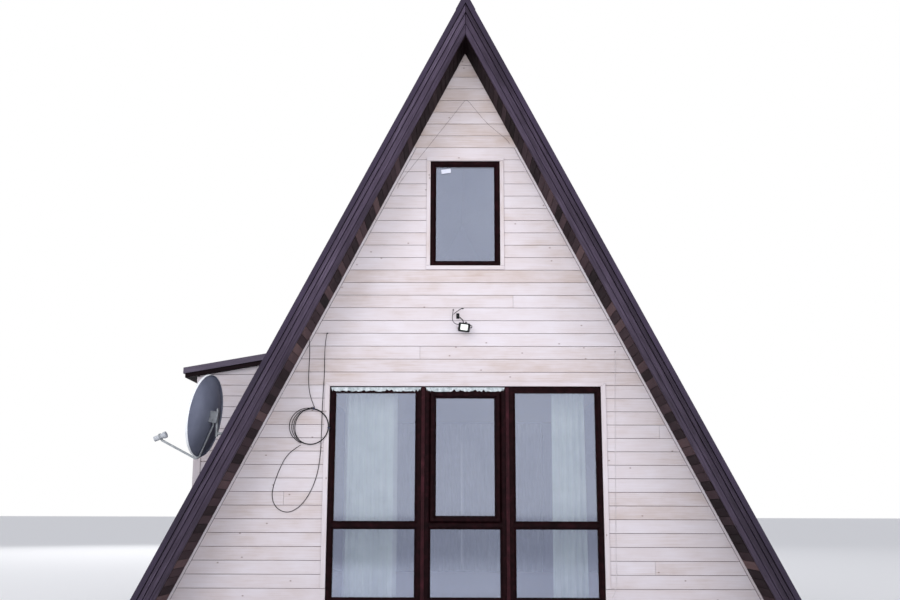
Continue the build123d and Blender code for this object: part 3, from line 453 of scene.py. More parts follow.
def dressFitting(name, shaped, material, slotName, **details):
    # the same for a small shape built of rods and rings
    mesh = bpy.data.meshes.new(name)
    shaped.to_mesh(mesh)
    shaped.free()
    dressPiece(name, mesh, material, slotName, **details)


def clipOutline(outline, axis, limit, keepAbove):
    # Keeps the part of a flat outline on one side of a level or upright line.
    kept = []
    for index, here in enumerate(outline):
        after = outline[(index + 1) % len(outline)]
        insideHere, insideAfter = ((point[axis] >= limit) == keepAbove or abs(point[axis] - limit) < 1e-9
                                   for point in (here, after))
        if insideHere:
            kept.append(here)
        if insideHere != insideAfter:
            share = (limit - here[axis]) / (after[axis] - here[axis])
            kept.append(tuple(h + share * (a - h) for h, a in zip(here, after)))
    return kept


def clipBox(outline, low, high, left=None, right=None):
    for axis, limit, keepAbove in ((1, low, True), (1, high, False), (0, left, True), (0, right, False)):
        if limit is not None and len(outline) > 2:
            outline = clipOutline(outline, axis, limit, keepAbove)
    return outline if len(outline) > 2 else []


def addRod(shaped, start, end, radius, sides=16, endRadius=None):
    start, end = Vector(start), Vector(end)
    turned = (end - start).to_track_quat("Z", "Y").to_matrix().to_4x4()
    bmesh.ops.create_cone(shaped, cap_ends=True, segments=sides, radius1=radius,
                          radius2=radius if endRadius is None else endRadius,
                          depth=(end - start).length, matrix=Matrix.Translation((start + end) / 2) @ turned)


def addClosedRing(shaped, count, profileAt):
    # profileAt gives the points of one profile at an angle, and the profiles are joined all the way round.
    angles = [math.tau * step / count for step in range(count)]
    rings = [[shaped.verts.new(point) for point in profileAt(angle)] for angle in angles]
    for here, after in zip(rings, rings[1:] + rings[:1]):
        for place in range(len(here)):
            beside = (place + 1) % len(here)
            shaped.faces.new((here[place], here[beside], after[beside], after[place]))
    bmesh.ops.recalc_face_normals(shaped, faces=shaped.faces)


# Cables: each has its real route, and the tube's points are the spline's.
cableLook = {"radius": 0.0035, "paleRadius": 0.002, "wireRadius": 0.0015,
             "hang": 0.0263,    # how far the drop and the coil stand off the wall
             "lie": 0.0075}     # and the loop, where it lies nearly on it
hang, lie = cableLook["hang"], cableLook["lie"]


def offWall(route):
    # Routes are written as x, distance off the front wall, and z.
    return [(x, -wallY - off, z) for x, off, z in route]


dropRoute = offWall([(x, hang, z) for x, z in (
    (-1.676, 3.2395), (-1.668, 3.150), (-1.666, 3.040), (-1.669, 2.930), (-1.671, 2.820), (-1.665, 2.710),
    (-1.645, 2.602), (-1.601, 2.499))])
loopRoute = offWall([
    (-1.483, 0, 3.296), (-1.483, 0.040, 3.296), (-1.485, 0.071, 3.268), (-1.490, 0.080, 3.218),
    (-1.497, 0.070, 3.150), (-1.502, 0.048, 3.070), (-1.505, 0.024, 2.985), (-1.5055, lie, 2.895),
    (-1.507, lie, 2.800), (-1.512, lie, 2.692), (-1.516, lie, 2.586), (-1.518, lie, 2.486),
    (-1.5195, lie, 2.386), (-1.520, lie, 2.285), (-1.521, lie, 2.184), (-1.523, lie, 2.084),
    (-1.528, lie, 1.984), (-1.538, lie, 1.885), (-1.557, lie, 1.786), (-1.587, lie, 1.690),
    (-1.628, lie, 1.599), (-1.682, lie, 1.514), (-1.752, lie, 1.442), (-1.841, lie, 1.400),
    (-1.934, lie, 1.420), (-2.002, lie, 1.488), (-2.024, lie, 1.584), (-2.008, lie, 1.682),
    (-1.977, lie, 1.777), (-1.942, lie + 0.001, 1.871), (-1.897, lie + 0.005, 1.960),
    (-1.834, lie + 0.012, 2.037), (-1.734, hang, 2.099)])
lampLeadRoute = offWall([
    (-0.129, 0, 3.556), (-0.129, 0.040, 3.556), (-0.131, 0.072, 3.528), (-0.137, 0.080, 3.482),
    (-0.140, 0.084, 3.440), (-0.126, 0.090, 3.402), (-0.095, 0.094, 3.381), (-0.072, 0.095, 3.380)])
lampSpurRoute = offWall([
    (-0.025, 0, 3.570), (-0.025, 0.038, 3.570), (-0.046, 0.062, 3.556), (-0.088, 0.068, 3.528),
    (-0.128, 0.066, 3.494)])
paleRoute = offWall([
    (1.606, 0, 3.100), (1.606, 0.020, 3.100), (1.606, 0.035, 3.086), (1.605, 0.037, 3.060),
    (1.603, 0.030, 3.016), (1.600, 0.016, 2.940), (1.596, 0.006, 2.800), (1.588, 0.004, 2.500),
    (1.577, 0.0045, 1.950), (1.567, 0.005, 1.450), (1.561, 0.006, 1.150), (1.557, 0.008, 0.950),
    (1.556, 0.009, 0.850), (1.556, 0.010, 0.780), (1.554, 0.014, 0.721), (1.547, 0.020, 0.664),
    (1.532, 0.029, 0.610), (1.508, 0.040, 0.562), (1.480, 0.050, 0.524), (1.457, 0.052, 0.495),
    (1.445, 0.042, 0.480), (1.438, 0.023, 0.471), (1.438, 0, 0.471)])
wireRoute = offWall([(x, 0.0018, z) for x, z in (
    (-0.748, 4.925), (-0.735, 4.975), (-0.690, 5.042), (-0.600, 5.163), (-0.420, 5.400), (-0.240, 5.640),
    (-0.130, 5.785), (-0.060, 5.881), (-0.014, 5.944), (0.010, 5.960), (0.038, 5.948), (0.090, 5.880),
    (0.155, 5.796), (0.235, 5.695), (0.340, 5.600), (0.440, 5.515), (0.482, 5.472), (0.497, 5.443))])
coilLook = {
    "centre": (-1.633, 2.294), "radius": 0.191, "turns": 3, "pointsPerTurn": 16,
    "fan": 0.021,        # how far the turns part on the loose, left side
    "looseSide": 168,    # the middle of that side, in degrees from the right, upward
    "arrival": 0.016,    # how far above the turns the drop comes in
    "startAngle": 80,    # where the drop comes in
    "endAngle": 242,     # where the loop leaves
    "bundle": 0.0035,    # how far the turns lie from the middle of the bundle
    "bundleTurn": 3.3,
    "looseShape": 1.5,   # how sharply the turns part on the loose side
    "arrivalPoints": 5,
    "layShare": 1.5,     # how much less the turns part outward than across
}


def coilRoute(look):
    # Turns that lie together at the right and below, where they are tied, and fan out at the left.
    centreX, centreZ = look["centre"]
    sweep = 360 * look["turns"] + (look["endAngle"] - look["startAngle"])
    count = round(look["pointsPerTurn"] * sweep / 360)
    route = []
    for index in range(count + 1):
        angle = math.radians(look["startAngle"] + sweep * index / count)
        turn = index * sweep / count / 360
        fromMiddle = turn - 0.5 * look["turns"]
        inBundle = math.tau * turn / look["bundleTurn"]
        loose = max(0.0, math.cos(angle - math.radians(look["looseSide"]))) ** look["looseShape"]
        arriving = look["arrival"] * max(0.0, 1 - index / look["arrivalPoints"]) ** 2
        reach = (look["radius"] + fromMiddle * look["fan"] * loose + look["bundle"] * math.cos(inBundle)
                 + arriving)
        depth = look["bundle"] * (math.sin(inBundle) + fromMiddle / look["layShare"])
        route.append((centreX + reach * math.cos(angle), hang + depth, centreZ + reach * math.sin(angle)))
    return offWall(route)


def nodeOf(name):
    # paleCable stands for the node pale_cable
    return "".join("_" + letter.lower() if letter.isupper() else letter for letter in name)


def routeLength(curveObject):
    evaluated = curveObject.evaluated_get(bpy.context.evaluated_depsgraph_get())
    mesh = bpy.data.meshes.new_from_object(evaluated)
    ends = [[mesh.vertices[end].co for end in edge.vertices] for edge in mesh.edges]
    total = sum((start - end).length for start, end in ends)
    bpy.data.meshes.remove(mesh)
    return total


def makeCable(name, route, radius, material):
    data = bpy.data.curves.new(name, "CURVE")
    data.dimensions = "3D"
    data.resolution_u = 8
    spline = data.splines.new("NURBS")
    spline.points.add(len(route) - 1)
    for point, place in zip(spline.points, route):
        point.co = (*place, 1)
    spline.order_u = 3
    spline.use_endpoint_u = True
    piece = placeObject(name, data)
    length = routeLength(piece)
    data.bevel_depth = radius
    data.bevel_resolution = 4
    data.use_fill_caps = True
    data.materials.append(material)
    nodeName = nodeOf(name)
    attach(piece, "root")
    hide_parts(nodeName)
    print(name, "length", round(length, 3))


for name, route, lay, farEnd in (
        ("antennaCableDrop", dropRoute, "hanging", "object"),
        ("antennaCableCoil", coilRoute(coilLook), "coiled", "object"),
        ("antennaCableLoop", loopRoute, "hanging", "object"),
        ("floodlightLead", lampLeadRoute, "hanging", "object"),
        ("floodlightSpur", lampSpurRoute, "hanging", "bare")):
    makeCable(name, route, cableLook["radius"], blackSheath)
makeCable("paleCable", paleRoute, cableLook["paleRadius"], paleSheath)
makeCable("apexWire", wireRoute, cableLook["wireRadius"], wireSheath)

# Two ties hold the turns together, and a nail carries the thin wire at its top.
tieLook = {"angles": (81, -4), "width": 0.012, "thickness": 0.0016, "reach": 0.0125, "deep": 0.010}
coilX, coilZ = coilLook["centre"]
ties = newStock()
for angle in tieLook["angles"]:
    turned = math.radians(angle)
    outward = Vector((math.cos(turned), 0, math.sin(turned)))
    around = Vector((-math.sin(turned), 0, math.cos(turned)))
    middle = Vector(offWall([(coilX, hang, coilZ)])[0]) + outward * coilLook["radius"]
    out, deep = outward * tieLook["reach"], Vector((0, tieLook["deep"], 0))
    corners = [out + deep, out - deep, -out - deep, -out + deep]
    for here, after in zip(corners, corners[1:] + corners[:1]):
        inner = 1 - tieLook["thickness"] / tieLook["reach"]
        near = [middle + point - around * (tieLook["width"] / 2)
                for point in (here, after, after * inner, here * inner)]
        addBoard(ties, near, around * tieLook["width"], around)
makePiece("coilTies", ties, blueNylon, "black_cable")

nailLook = {"places": ((0.010, 5.953), (-1.483, 3.304), (1.606, 3.108)), "length": 0.012, "radius": 0.0028}
nails = bmesh.new()
for x, z in nailLook["places"]:
    addRod(nails, (x, -wallY, z), (x, -wallY - nailLook["length"], z), nailLook["radius"], 10)
dressFitting("wireNails", nails, galvanisedSteel, "painted_steel")
print("cables made")

# Facing boards of the gables and the side bay
boardLook = {"pitch": 0.140, "joint": 0.0046, "depth": 0.012, "eased": 0.0025, "firstJoint": 6.378,
             "leastRow": 0.012, "leastPart": 0.004, "endGap": 0.002, "planeSlack": 2e-4,
             "coreTone": 0.55,    # tones run from 0, bare and dark, to 1, thickly glazed
             "bareTone": 0.0, "glazedTone": 0.38, "toneSpread": 0.5, "bayTone": 0.3, "bayToneSpread": 0.55,
             "bareAbove": 5.35, "bareRows": ((3.86, 4.0), (2.88, 3.02), (1.3, 1.62)),
             "ends": ((-0.486, 3.117), (0.518, 3.699), (-1.90, 1.58), (2.05, 2.28), (1.96, 0.86))}
holes = {"lower": (1.443, 0.476, 2.727), "upper": (0.384, 4.046, 5.243)}    # half width, low, high
trimLook = {"thickness": 0.015, "joint": 0.002, "eased": 0.0018, "headHeight": 0.042, "sideWidth": 0.050,
            "sideLow": 0.640, "upperWidth": 0.042,
            "stripWidth": 0.026, "stripDepth": 0.008, "stripJoint": 0.005, "stripTop": 5.398,
            "stripShort": 0.001, "tone": 0.6, "upperTone": 0.5, "stripTone": 0.8}
chance = random.Random(11)
grainSpan = 40    # metres of grain that a board may be cut from


def anyGrain():
    # Each board is cut from its own place in the grain.
    return (chance.random() * grainSpan, chance.random() * grainSpan)


def boardRows(low, high):
    edges = [high]
    joint = boardLook["firstJoint"] + 10 * boardLook["pitch"]
    while joint > low:
        if joint < high:
            edges.append(joint)
        joint -= boardLook["pitch"]
    edges.append(low)
    gap = boardLook["joint"] / 2
    return [(below + gap, above - gap) for above, below in zip(edges, edges[1:])
            if above - below > boardLook["leastRow"]]


def copyInset(nodeName, name, material, slotName, moves=(), runs=((1, 0, 0), (0, 1, 0))):
    # The node's own shape, with faces set back where boards go and a grain map along the first run that fits.
    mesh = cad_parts[nodeName].data.copy()
    mesh.name = name
    for vertex in mesh.vertices:
        for axis, plane, amount in moves:
            if abs(vertex.co[axis] - plane) < boardLook["planeSlack"]:
                vertex.co[axis] += amount
    grain, tone = addGrain(mesh)
    for polygon in mesh.polygons:
        along = next((Vector(run) for run in runs if abs(polygon.normal.dot(run)) < 0.5),
                     polygon.normal.orthogonal())
        across = polygon.normal.cross(along)
        tone.data[polygon.index].value = boardLook["coreTone"]
        for loop in polygon.loop_indices:
            place = mesh.vertices[mesh.loops[loop].vertex_index].co
            grain.data[loop].uv = (place.dot(along), place.dot(across))
    return dressPiece(name, mesh, material, slotName, (nodeName,))


def cutAtEnds(outline):
    # A long row is two boards end to end where one of the listed ends falls inside it.
    acrossAll, upAll = zip(*outline)
    half = boardLook["endGap"] / 2
    for x, z in boardLook["ends"]:
        if min(upAll) < z < max(upAll) and min(acrossAll) < x < max(acrossAll):
            return [clipOutline(outline, 0, x - half, False), clipOutline(outline, 0, x + half, True)]
    return [outline]


def gableOutlines():
    # Rows of boards under the roof line, cut round the two window holes. Above the top of the rake bead
    # they reach the soffit, and below it they stop short of the bead.
    foot, outlines = foundationTop, []
    for low, high in boardRows(foot, apexZ(roofDepth)):
        edge = roofDepth
        if low < trimLook["stripTop"]:
            edge += trimLook["stripWidth"] + trimLook["stripJoint"]
        region = [(-roofX(edge, foot), foot), (roofX(edge, foot), foot), (0.0, apexZ(edge))]
        cut = next((hole for hole in holes.values() if low < hole[2] and high > hole[1]), None)
        if cut:
            half, holeLow, holeHigh = cut
            parts = [clipBox(region, low, high, right=-half), clipBox(region, low, high, left=half)]
            for bottom, top in ((holeHigh, high), (low, holeLow)):
                if top - bottom > boardLook["leastPart"]:
                    parts.append(clipBox(region, bottom, top, -half, half))
        else:
            parts = [clipBox(region, low, high)]
        outlines += [piece for part in parts if part for piece in cutAtEnds(part)]
    return outlines


def boardTone(outline):
    # Rows near the top and a few below took less glaze, and show more of the tan wood.
    heights = [z for x, z in outline]
    middle = (min(heights) + max(heights)) / 2
    bare = middle > boardLook["bareAbove"] or any(low < middle < high for low, high in boardLook["bareRows"])
    return boardLook["bareTone" if bare else "glazedTone"] + boardLook["toneSpread"] * chance.random()


def bayTone():
    return boardLook["bayTone"] + boardLook["bayToneSpread"] * chance.random()


# the wall cores behind the boards carry the rebate's painted shade, which shows in the joints
for gableName, facing in gables:
    copyInset(gableName + "_wall", gableName + "WallCore", rebatePaintedShade, "whitewashed_boards",
              [(1, facing * wallY, -facing * boardLook["depth"])])
    stock = newStock()
    for outline in gableOutlines():
        addUpright(stock, outline, facing * wallY, -facing * boardLook["depth"], (1, 0, 0),
                   boardTone(outline), anyGrain())
    makePiece(gableName + "FacingBoards", stock, whitewashedSpruce, "whitewashed_boards",
              bevel=boardLook["eased"])

bayEaveX, bayEaveZ, bayRise = -3.622, 3.234, 0.1763
bayFascia, baySlab = 0.077, 0.051
baySlope = Vector((1, 0, bayRise)).normalized()
doorLook = {"centreY": 0.35, "width": 0.90, "height": 2.04, "frameFace": 0.06, "gap": 0.003, "sill": 0.03}
doorHalf = doorLook["width"] / 2 + doorLook["frameFace"] + doorLook["gap"]
doorTop = floorTop + doorLook["height"] + doorLook["sill"] + doorLook["frameFace"] + 2 * doorLook["gap"]


def bayUnder(x, y):
    # the underside of the bay's roof slab
    return (x, y, bayEaveZ + bayRise * (x - bayEaveX) - bayFascia - baySlab)


def bayMeetsRoof(drop, depth):
    start = bayEaveZ - drop - bayRise * bayEaveX
    z = (start - bayRise * roofRun * apexZ(depth)) / (1 - bayRise * roofRun)
    return (-roofX(depth, z), z)


boardDepth = boardLook["depth"]
copyInset("bay_cheek_walls", "bayCheekCores", rebatePaintedShade, "whitewashed_boards",
          [(1, -bayHalf, boardDepth), (1, bayHalf, -boardDepth), (0, bayX, boardDepth)])
copyInset("bay_side_wall", "baySideCore", rebatePaintedShade, "whitewashed_boards", [(0, bayX, boardDepth)])
copyInset("bay_corner_boards", "bayCornerBoards", whitewashedSpruce, "whitewashed_boards", runs=((0, 0, 1),))
copyInset("bay_fascia", "bayFasciaBoards", bleachedStain, "stained_timber", runs=(baySlope, (0, 1, 0)))
stock = newStock()
sideTop = bayUnder(bayX, 0)[2]
cheek = [(bayX, foundationTop), (-roofX(panelTop, foundationTop), foundationTop),
         bayMeetsRoof(bayFascia + baySlab, panelTop), (bayX, sideTop)]
for side in (-1, 1):
    for low, high in boardRows(foundationTop, cheek[2][1]):
        outline = clipBox(cheek, low, high)
        if outline:
            addUpright(stock, outline, side * bayHalf, -side * boardDepth, (1, 0, 0), bayTone(), anyGrain())
doorLow, doorHigh = doorLook["centreY"] - doorHalf, doorLook["centreY"] + doorHalf
for low, high in boardRows(foundationTop, sideTop):
    spans = [(-bayHalf, bayHalf, low, high)]
    if low < doorTop and high > floorTop:
        spans = [(-bayHalf, doorLow, low, high), (doorHigh, bayHalf, low, high)]
        for bottom, top in ((doorTop, high), (low, floorTop)):
            if top - bottom > boardLook["leastPart"]:
                spans.append((doorLow, doorHigh, bottom, top))
    for span in spans:
        near = [(bayX, y, z) for y, z in boxOutline(*span)]
        addBoard(stock, near, (boardDepth, 0, 0), (0, 1, 0), bayTone(), anyGrain())
makePiece("bayFacingBoards", stock, whitewashedSpruce, "whitewashed_boards", bevel=boardLook["eased"])
print("facing boards made")


# Trim boards on the gables
def bandOutline(side, top, bottom, foot, back=0.0):
    rise = back / roofRun
    return [(side * back, apexZ(top) - rise), (side * roofX(top, foot), foot),
            (side * roofX(bottom, foot), foot), (side * back, apexZ(bottom) - rise)]


def gableTrims(look):
    # Each trim is an outline, the run of its grain, a tone, a thickness and how far it is sunk in the boards.
    joint, full, wide = look["joint"], look["thickness"], look["upperWidth"]
    tone, upperTone = look["tone"], look["upperTone"]
    level, upright = (1, 0, 0), (0, 0, 1)
    half, low, high = holes["lower"]
    outer, top = half + look["sideWidth"], high + look["headHeight"]
    upperHalf, upperLow, upperHigh = holes["upper"]
    upperOuter = upperHalf + wide
    # the head trim is mitred down to the corners of the lower windows' hole
    trims = [([(-half, high), (half, high), (outer, top), (-outer, top)], level, tone, full, 0.0),
             (boxOutline(-upperOuter, upperOuter, upperHigh, upperHigh + wide), level, upperTone, full, 0.0),
             (boxOutline(-upperOuter, upperOuter, upperLow - wide, upperLow), level, tone, full, 0.0)]
    for side in (-1, 1):
        lower = [(side * half, look["sideLow"]), (side * outer, look["sideLow"]),
                 (side * outer, top - joint), (side * half, high - joint)]
        trims.append((lower, upright, tone, full, 0.0))
        centre = side * (upperHalf + upperOuter) / 2
        upper = boxOutline(centre - wide / 2, centre + wide / 2, upperLow + joint, upperHigh - joint)
        trims.append((upper, upright, upperTone, full, 0.0))
        strip = bandOutline(side, roofDepth, roofDepth + look["stripWidth"], foundationTop, joint / 2)
        trims.append((clipOutline(strip, 1, look["stripTop"], False), slopeAlong(side), look["stripTone"],
                      look["stripDepth"], boardDepth - look["stripShort"]))
    return trims


for gableName, facing in gables:
    stock = newStock()
    for outline, along, tone, thickness, sunk in gableTrims(trimLook):
        addUpright(stock, outline, facing * (wallY - sunk), facing * (thickness + sunk), along, tone,
                   anyGrain())
    makePiece(gableName + "TrimBoards", stock, whitewashedSpruce, "whitewashed_boards",
              (gableName + "_trims",), bevel=trimLook["eased"])

# Rake: two planks under a batten, mitred at the ridge, in front of dark soffit boards
rakeLook = {"plank": 0.025, "footZ": 0.120, "mitreGap": 0.001, "eased": 0.003,
            "bands": ((0.104, 0.159), (0.163, 0.218)),    # how deep below the roof line each plank runs
            "battenBand": (0.059, 0.100), "battenStep": 0.015}


def addRakeBoard(stock, facing, side, band, y, deep):
    outline = bandOutline(side, *band, rakeLook["footZ"], rakeLook["mitreGap"])
    addUpright(stock, outline, facing * y, -facing * deep, slopeAlong(side), chance.random(), anyGrain())


for gableName, facing in gables:
    stock = newStock()
    for side in (-1, 1):
        for band in rakeLook["bands"]:
            addRakeBoard(stock, facing, side, band, rakeY, rakeLook["plank"])
    makePiece(gableName + "RakePlanks", stock, weatheredStain, "stained_timber",
              (gableName + "_bargeboards",), bevel=rakeLook["eased"])
stock = newStock()
for facing, side in roofEdges:
    addRakeBoard(stock, facing, side, rakeLook["battenBand"], rakeY + rakeLook["battenStep"],
                 rakeLook["battenStep"] + rakeLook["plank"])
makePiece("vergeBattens", stock, weatheredStain, "stained_timber", ("verge_battens",),
          bevel=rakeLook["eased"])

soffitLook = {"width": 0.098, "joint": 0.007, "thickness": 0.006, "eased": 0.002, "backing": 0.0012,
              "wallGap": 0.0005, "ridgeGap": 0.004, "leastBoard": 0.02,
              "ridgeToneShare": 0.2, "ridgeToneRun": 2.8}    # the boards near the ridge are the darkest


def addSoffitBoard(stock, facing, side, start, end, thickness, tone, shift=(0.0, 0.0)):
    # start and end are measured down the slope from the peak of the soffit
    inner = facing * (wallY + trimLook["thickness"] + soffitLook["wallGap"])
    outer = facing * (rakeY - rakeLook["plank"])
    peak = Vector((0, 0, apexZ(roofDepth)))
    a, b = peak + slopeAlong(side) * start, peak + slopeAlong(side) * end
    inward = Vector((-side * math.cos(halfAngle), 0, -math.sin(halfAngle)))
    near = [(a.x, inner, a.z), (b.x, inner, b.z), (b.x, outer, b.z), (a.x, outer, a.z)]
    addBoard(stock, near, inward * thickness, (0, 1, 0), tone, shift)


stock = newStock()
total = (apexZ(roofDepth) - foundationTop) / math.cos(halfAngle)
for facing, side in roofEdges:
    start = soffitLook["thickness"] / roofRun * 0.5 + soffitLook["ridgeGap"]
    addSoffitBoard(stock, facing, side, start, total, soffitLook["backing"], 0.0)
    while start < total - soffitLook["leastBoard"]:
        end = min(start + soffitLook["width"] - soffitLook["joint"], total)
        ridgeToneCap = min(1.0, soffitLook["ridgeToneShare"] + start / soffitLook["ridgeToneRun"])
        addSoffitBoard(stock, facing, side, start, end, soffitLook["thickness"], ridgeToneCap * chance.random(),
                       anyGrain())
        start += soffitLook["width"]
makePiece("soffitBoards", stock, shelteredStain, "stained_timber", bevel=soffitLook["eased"])
print("trim and rake made")

# Bay eave: dark stained lining under the slab's overhang and on its edge below the fascia, kept near black as
# painted shade under the eave
eaveLook = {"thickness": 0.003, "width": 0.092, "joint": 0.004, "overhang": 0.090, "fasciaThickness": 0.022,
            "wallGap": 0.001, "paintedShadeTone": 0.05, "toneSpread": 0.3}
stock = newStock()
slabX = bayEaveX + eaveLook["fasciaThickness"]
slabY = bayHalf + eaveLook["overhang"] - eaveLook["fasciaThickness"]
slabLow = bayUnder(slabX, 0)[2]
slabFoot = bayMeetsRoof(bayFascia + baySlab, panelTop)
slabEdge = [(slabX, slabLow), slabFoot, bayMeetsRoof(bayFascia, panelTop), (slabX, slabLow + baySlab)]
down = (0, 0, -eaveLook["thickness"])
for side in (-1, 1):
    addUpright(stock, slabEdge, side * slabY, side * eaveLook["thickness"], baySlope, eaveLook["paintedShadeTone"])
    overhang = boxOutline(slabX, slabFoot[0], slabY, bayHalf + eaveLook["wallGap"])
    addBoard(stock, [bayUnder(x, side * y) for x, y in overhang], down, baySlope, eaveLook["paintedShadeTone"])
# the lining boards keep to the dark end of the stain's tones as painted shade under the eave
place = -bayHalf
while place < bayHalf:
    end = min(place + eaveLook["width"], bayHalf) - eaveLook["joint"]
    near = [bayUnder(x, y) for x, y in boxOutline(slabX, bayX - eaveLook["wallGap"], place, end)]
    addBoard(stock, near, down, baySlope, eaveLook["toneSpread"] * chance.random(),
             (chance.random() * grainSpan, 0))
    place += eaveLook["width"]
makePiece("bayEaveLining", stock, shelteredStain, "stained_timber")

# Windows: welded frames with sloped beads, gaskets and coupled posts
windowLook = {"outerY": 3.735, "depth": 0.070, "glassDepth": 0.023, "stile": 0.064, "rail": 0.070,
              "transom": (1.236, 1.316), "postCentre": 0.447, "coupling": 0.036, "sashFace": 0.054,
              "sashProud": 0.010, "upperStile": 0.060, "filletDepth": 0.0034, "filletInset": 0.030,
              "barInset": 0.041}
faceY, glassIn, frameDepth = windowLook["outerY"], windowLook["glassDepth"], windowLook["depth"]
stile, rail, post = windowLook["stile"], windowLook["rail"], windowLook["postCentre"]
groupHalf, groupLow, groupHigh = holes["lower"]
upperHalf, upperLow, upperHigh = holes["upper"]
halfCoupling = windowLook["coupling"] / 2
units = {"left": (-groupHalf, -post - halfCoupling), "centre": (-post + halfCoupling, post - halfCoupling),
         "right": (post + halfCoupling, groupHalf)}


def frameProfile(face, proud=0.0):
    # Inset and depth round one bar: flat face, small step, bead that slopes to the glass, and the inside.
    inner = frameDepth - glassIn
    return [(0.0, frameDepth), (0.0, 0.0025 - proud), (0.0025, -proud), (face - 0.024, -proud),
            (face - 0.022, 0.003 - proud), (face - 0.019, 0.003 - proud),
            (face - 0.004, glassIn - 0.005), (face, glassIn - 0.003),
            (face, inner + 0.003), (face - 0.004, inner + 0.005),
            (face - 0.018, frameDepth - 0.004), (face - 0.022, frameDepth)]


def gasketProfile(face):
    return [(face - 0.003, glassIn - 0.004), (face + 0.003, glassIn - 0.0005),
            (face + 0.003, glassIn - 0.0002), (face - 0.003, glassIn - 0.0002)]


def transomProfile(low, high):
    # Height and depth round the bar between the panes, with a bead above and below.
    upward = [(0.0, glassIn - 0.003), (0.004, glassIn - 0.005), (0.019, 0.003), (0.022, 0.003), (0.024, 0.0)]
    inner = [(high, frameDepth - glassIn), (high - 0.018, frameDepth),
             (low + 0.018, frameDepth), (low, frameDepth - glassIn)]
    return ([(low + rise, deep) for rise, deep in upward]
            + [(high - rise, deep) for rise, deep in reversed(upward)] + inner)


barLow, barHigh = windowLook["transom"]
for gableName, facing in gables:
    frames, gaskets = newStock(), newStock()
    for unitName, (left, right) in units.items():
        addRing(frames, (left, right, groupLow, groupHigh), frameProfile(stile), facing, faceY)
        panes = [(groupLow + rail - stile, barLow + stile), (barHigh - stile, groupHigh - rail + stile)]
        for bottom, top in panes[:1] if unitName == "centre" else panes:    # the sash has its own gasket
            addRing(gaskets, (left, right, bottom, top), gasketProfile(stile), facing, faceY)
        # fillets widen the rails to their real height
        inset, sunk = windowLook["filletInset"], windowLook["filletDepth"]
        for bottom, top in ((groupLow + inset, groupLow + rail), (groupHigh - rail, groupHigh - inset)):
            addUpright(frames, boxOutline(left + inset, right - inset, bottom, top), facing * (faceY - sunk),
                       -facing * (frameDepth - sunk))
        inset = windowLook["barInset"]
        near = [(left + inset, facing * (faceY - deep), z) for z, deep in transomProfile(barLow, barHigh)]
        addBoard(frames, near, (right - left - 2 * inset, 0, 0), (1, 0, 0))
    makePiece(gableName + "LowerWindowFrames", frames, mahoganyFoil, "brown_pvc",
              (gableName + "_lower_window_frames",))
    makePiece(gableName + "LowerGaskets", gaskets, blackRubber, "brown_pvc")

sashes, upperFrames, gaskets = newStock(), newStock(), newStock()
sashBox = (units["centre"][0] + stile, units["centre"][1] - stile, barHigh, groupHigh - rail)
for gableName, facing in gables:
    for stock, box, face, proud in (
            (sashes, sashBox, windowLook["sashFace"], windowLook["sashProud"]),
            (upperFrames, (-upperHalf, upperHalf, upperLow, upperHigh), windowLook["upperStile"], 0.0)):
        addRing(stock, box, frameProfile(face, proud), facing, faceY)
        addRing(gaskets, box, gasketProfile(face), facing, faceY)
makePiece("windowSashes", sashes, mahoganyFoil, "brown_pvc", ("window_sashes",))
makePiece("upperWindowFrames", upperFrames, mahoganyFoil, "brown_pvc", ("upper_window_frames",))
makePiece("sashGaskets", gaskets, blackRubber, "brown_pvc")
print("windows made")

# Leftovers of fitting: peel off film on two top rails, and a blank paper square on the upper pane
filmLook = {"proud": 0.0006, "top": 2.7165, "low": 2.669, "mitre": 0.048, "step": 0.020, "wave": 0.014,
            "notch": 0.030, "notchShare": 0.16, "leastStep": 0.004, "leastHeight": 0.002,
            "bands": ((-1.432, -0.470), (-0.420, 0.420))}
stock = newStock()
filmTop = filmLook["top"]
for left, right in filmLook["bands"]:
    x, edge = left, filmLook["low"]
    while x < right - filmLook["leastStep"]:
        end = min(x + filmLook["step"] * (0.5 + chance.random()), right)
        torn = filmLook["low"] + filmLook["wave"] * chance.random() ** 2
        if chance.random() < filmLook["notchShare"]:
            torn = filmLook["low"] + filmLook["notch"] * chance.random()
        # the ends follow the mitres of the frame
        starts = filmTop - (x - left) if x - left < filmLook["mitre"] else edge
        stops = filmTop - (right - end) if right - end < filmLook["mitre"] else torn
        lows = [min(filmTop - filmLook["leastHeight"], max(pair)) for pair in ((starts, edge), (stops, torn))]
        addUpright(stock, [(x, lows[0]), (end, lows[1]), (end, filmTop), (x, filmTop)],
                   -faceY - filmLook["proud"], filmLook["proud"])
        x, edge = end, torn
makePiece("peelFilmScraps", stock, peelFilm, "brown_pvc")

paperLook = {"centre": (-0.213, 5.136), "size": (0.106, 0.047), "tilt": 8,
             "thickness": 0.0003, "proud": 0.0004}
stock = newStock()
tilt = math.radians(paperLook["tilt"])
outline = []
for cornerX, cornerZ in boxOutline(-0.5, 0.5, -0.5, 0.5):
    across, up = cornerX * paperLook["size"][0], cornerZ * paperLook["size"][1]
    outline.append((paperLook["centre"][0] + across * math.cos(tilt) - up * math.sin(tilt),
                    paperLook["centre"][1] + across * math.sin(tilt) + up * math.cos(tilt)))
addUpright(stock, outline, -faceY + glassIn - paperLook["proud"], paperLook["thickness"])
makePiece("blankPaperSquare", stock, blankPaper, "white_plastic")

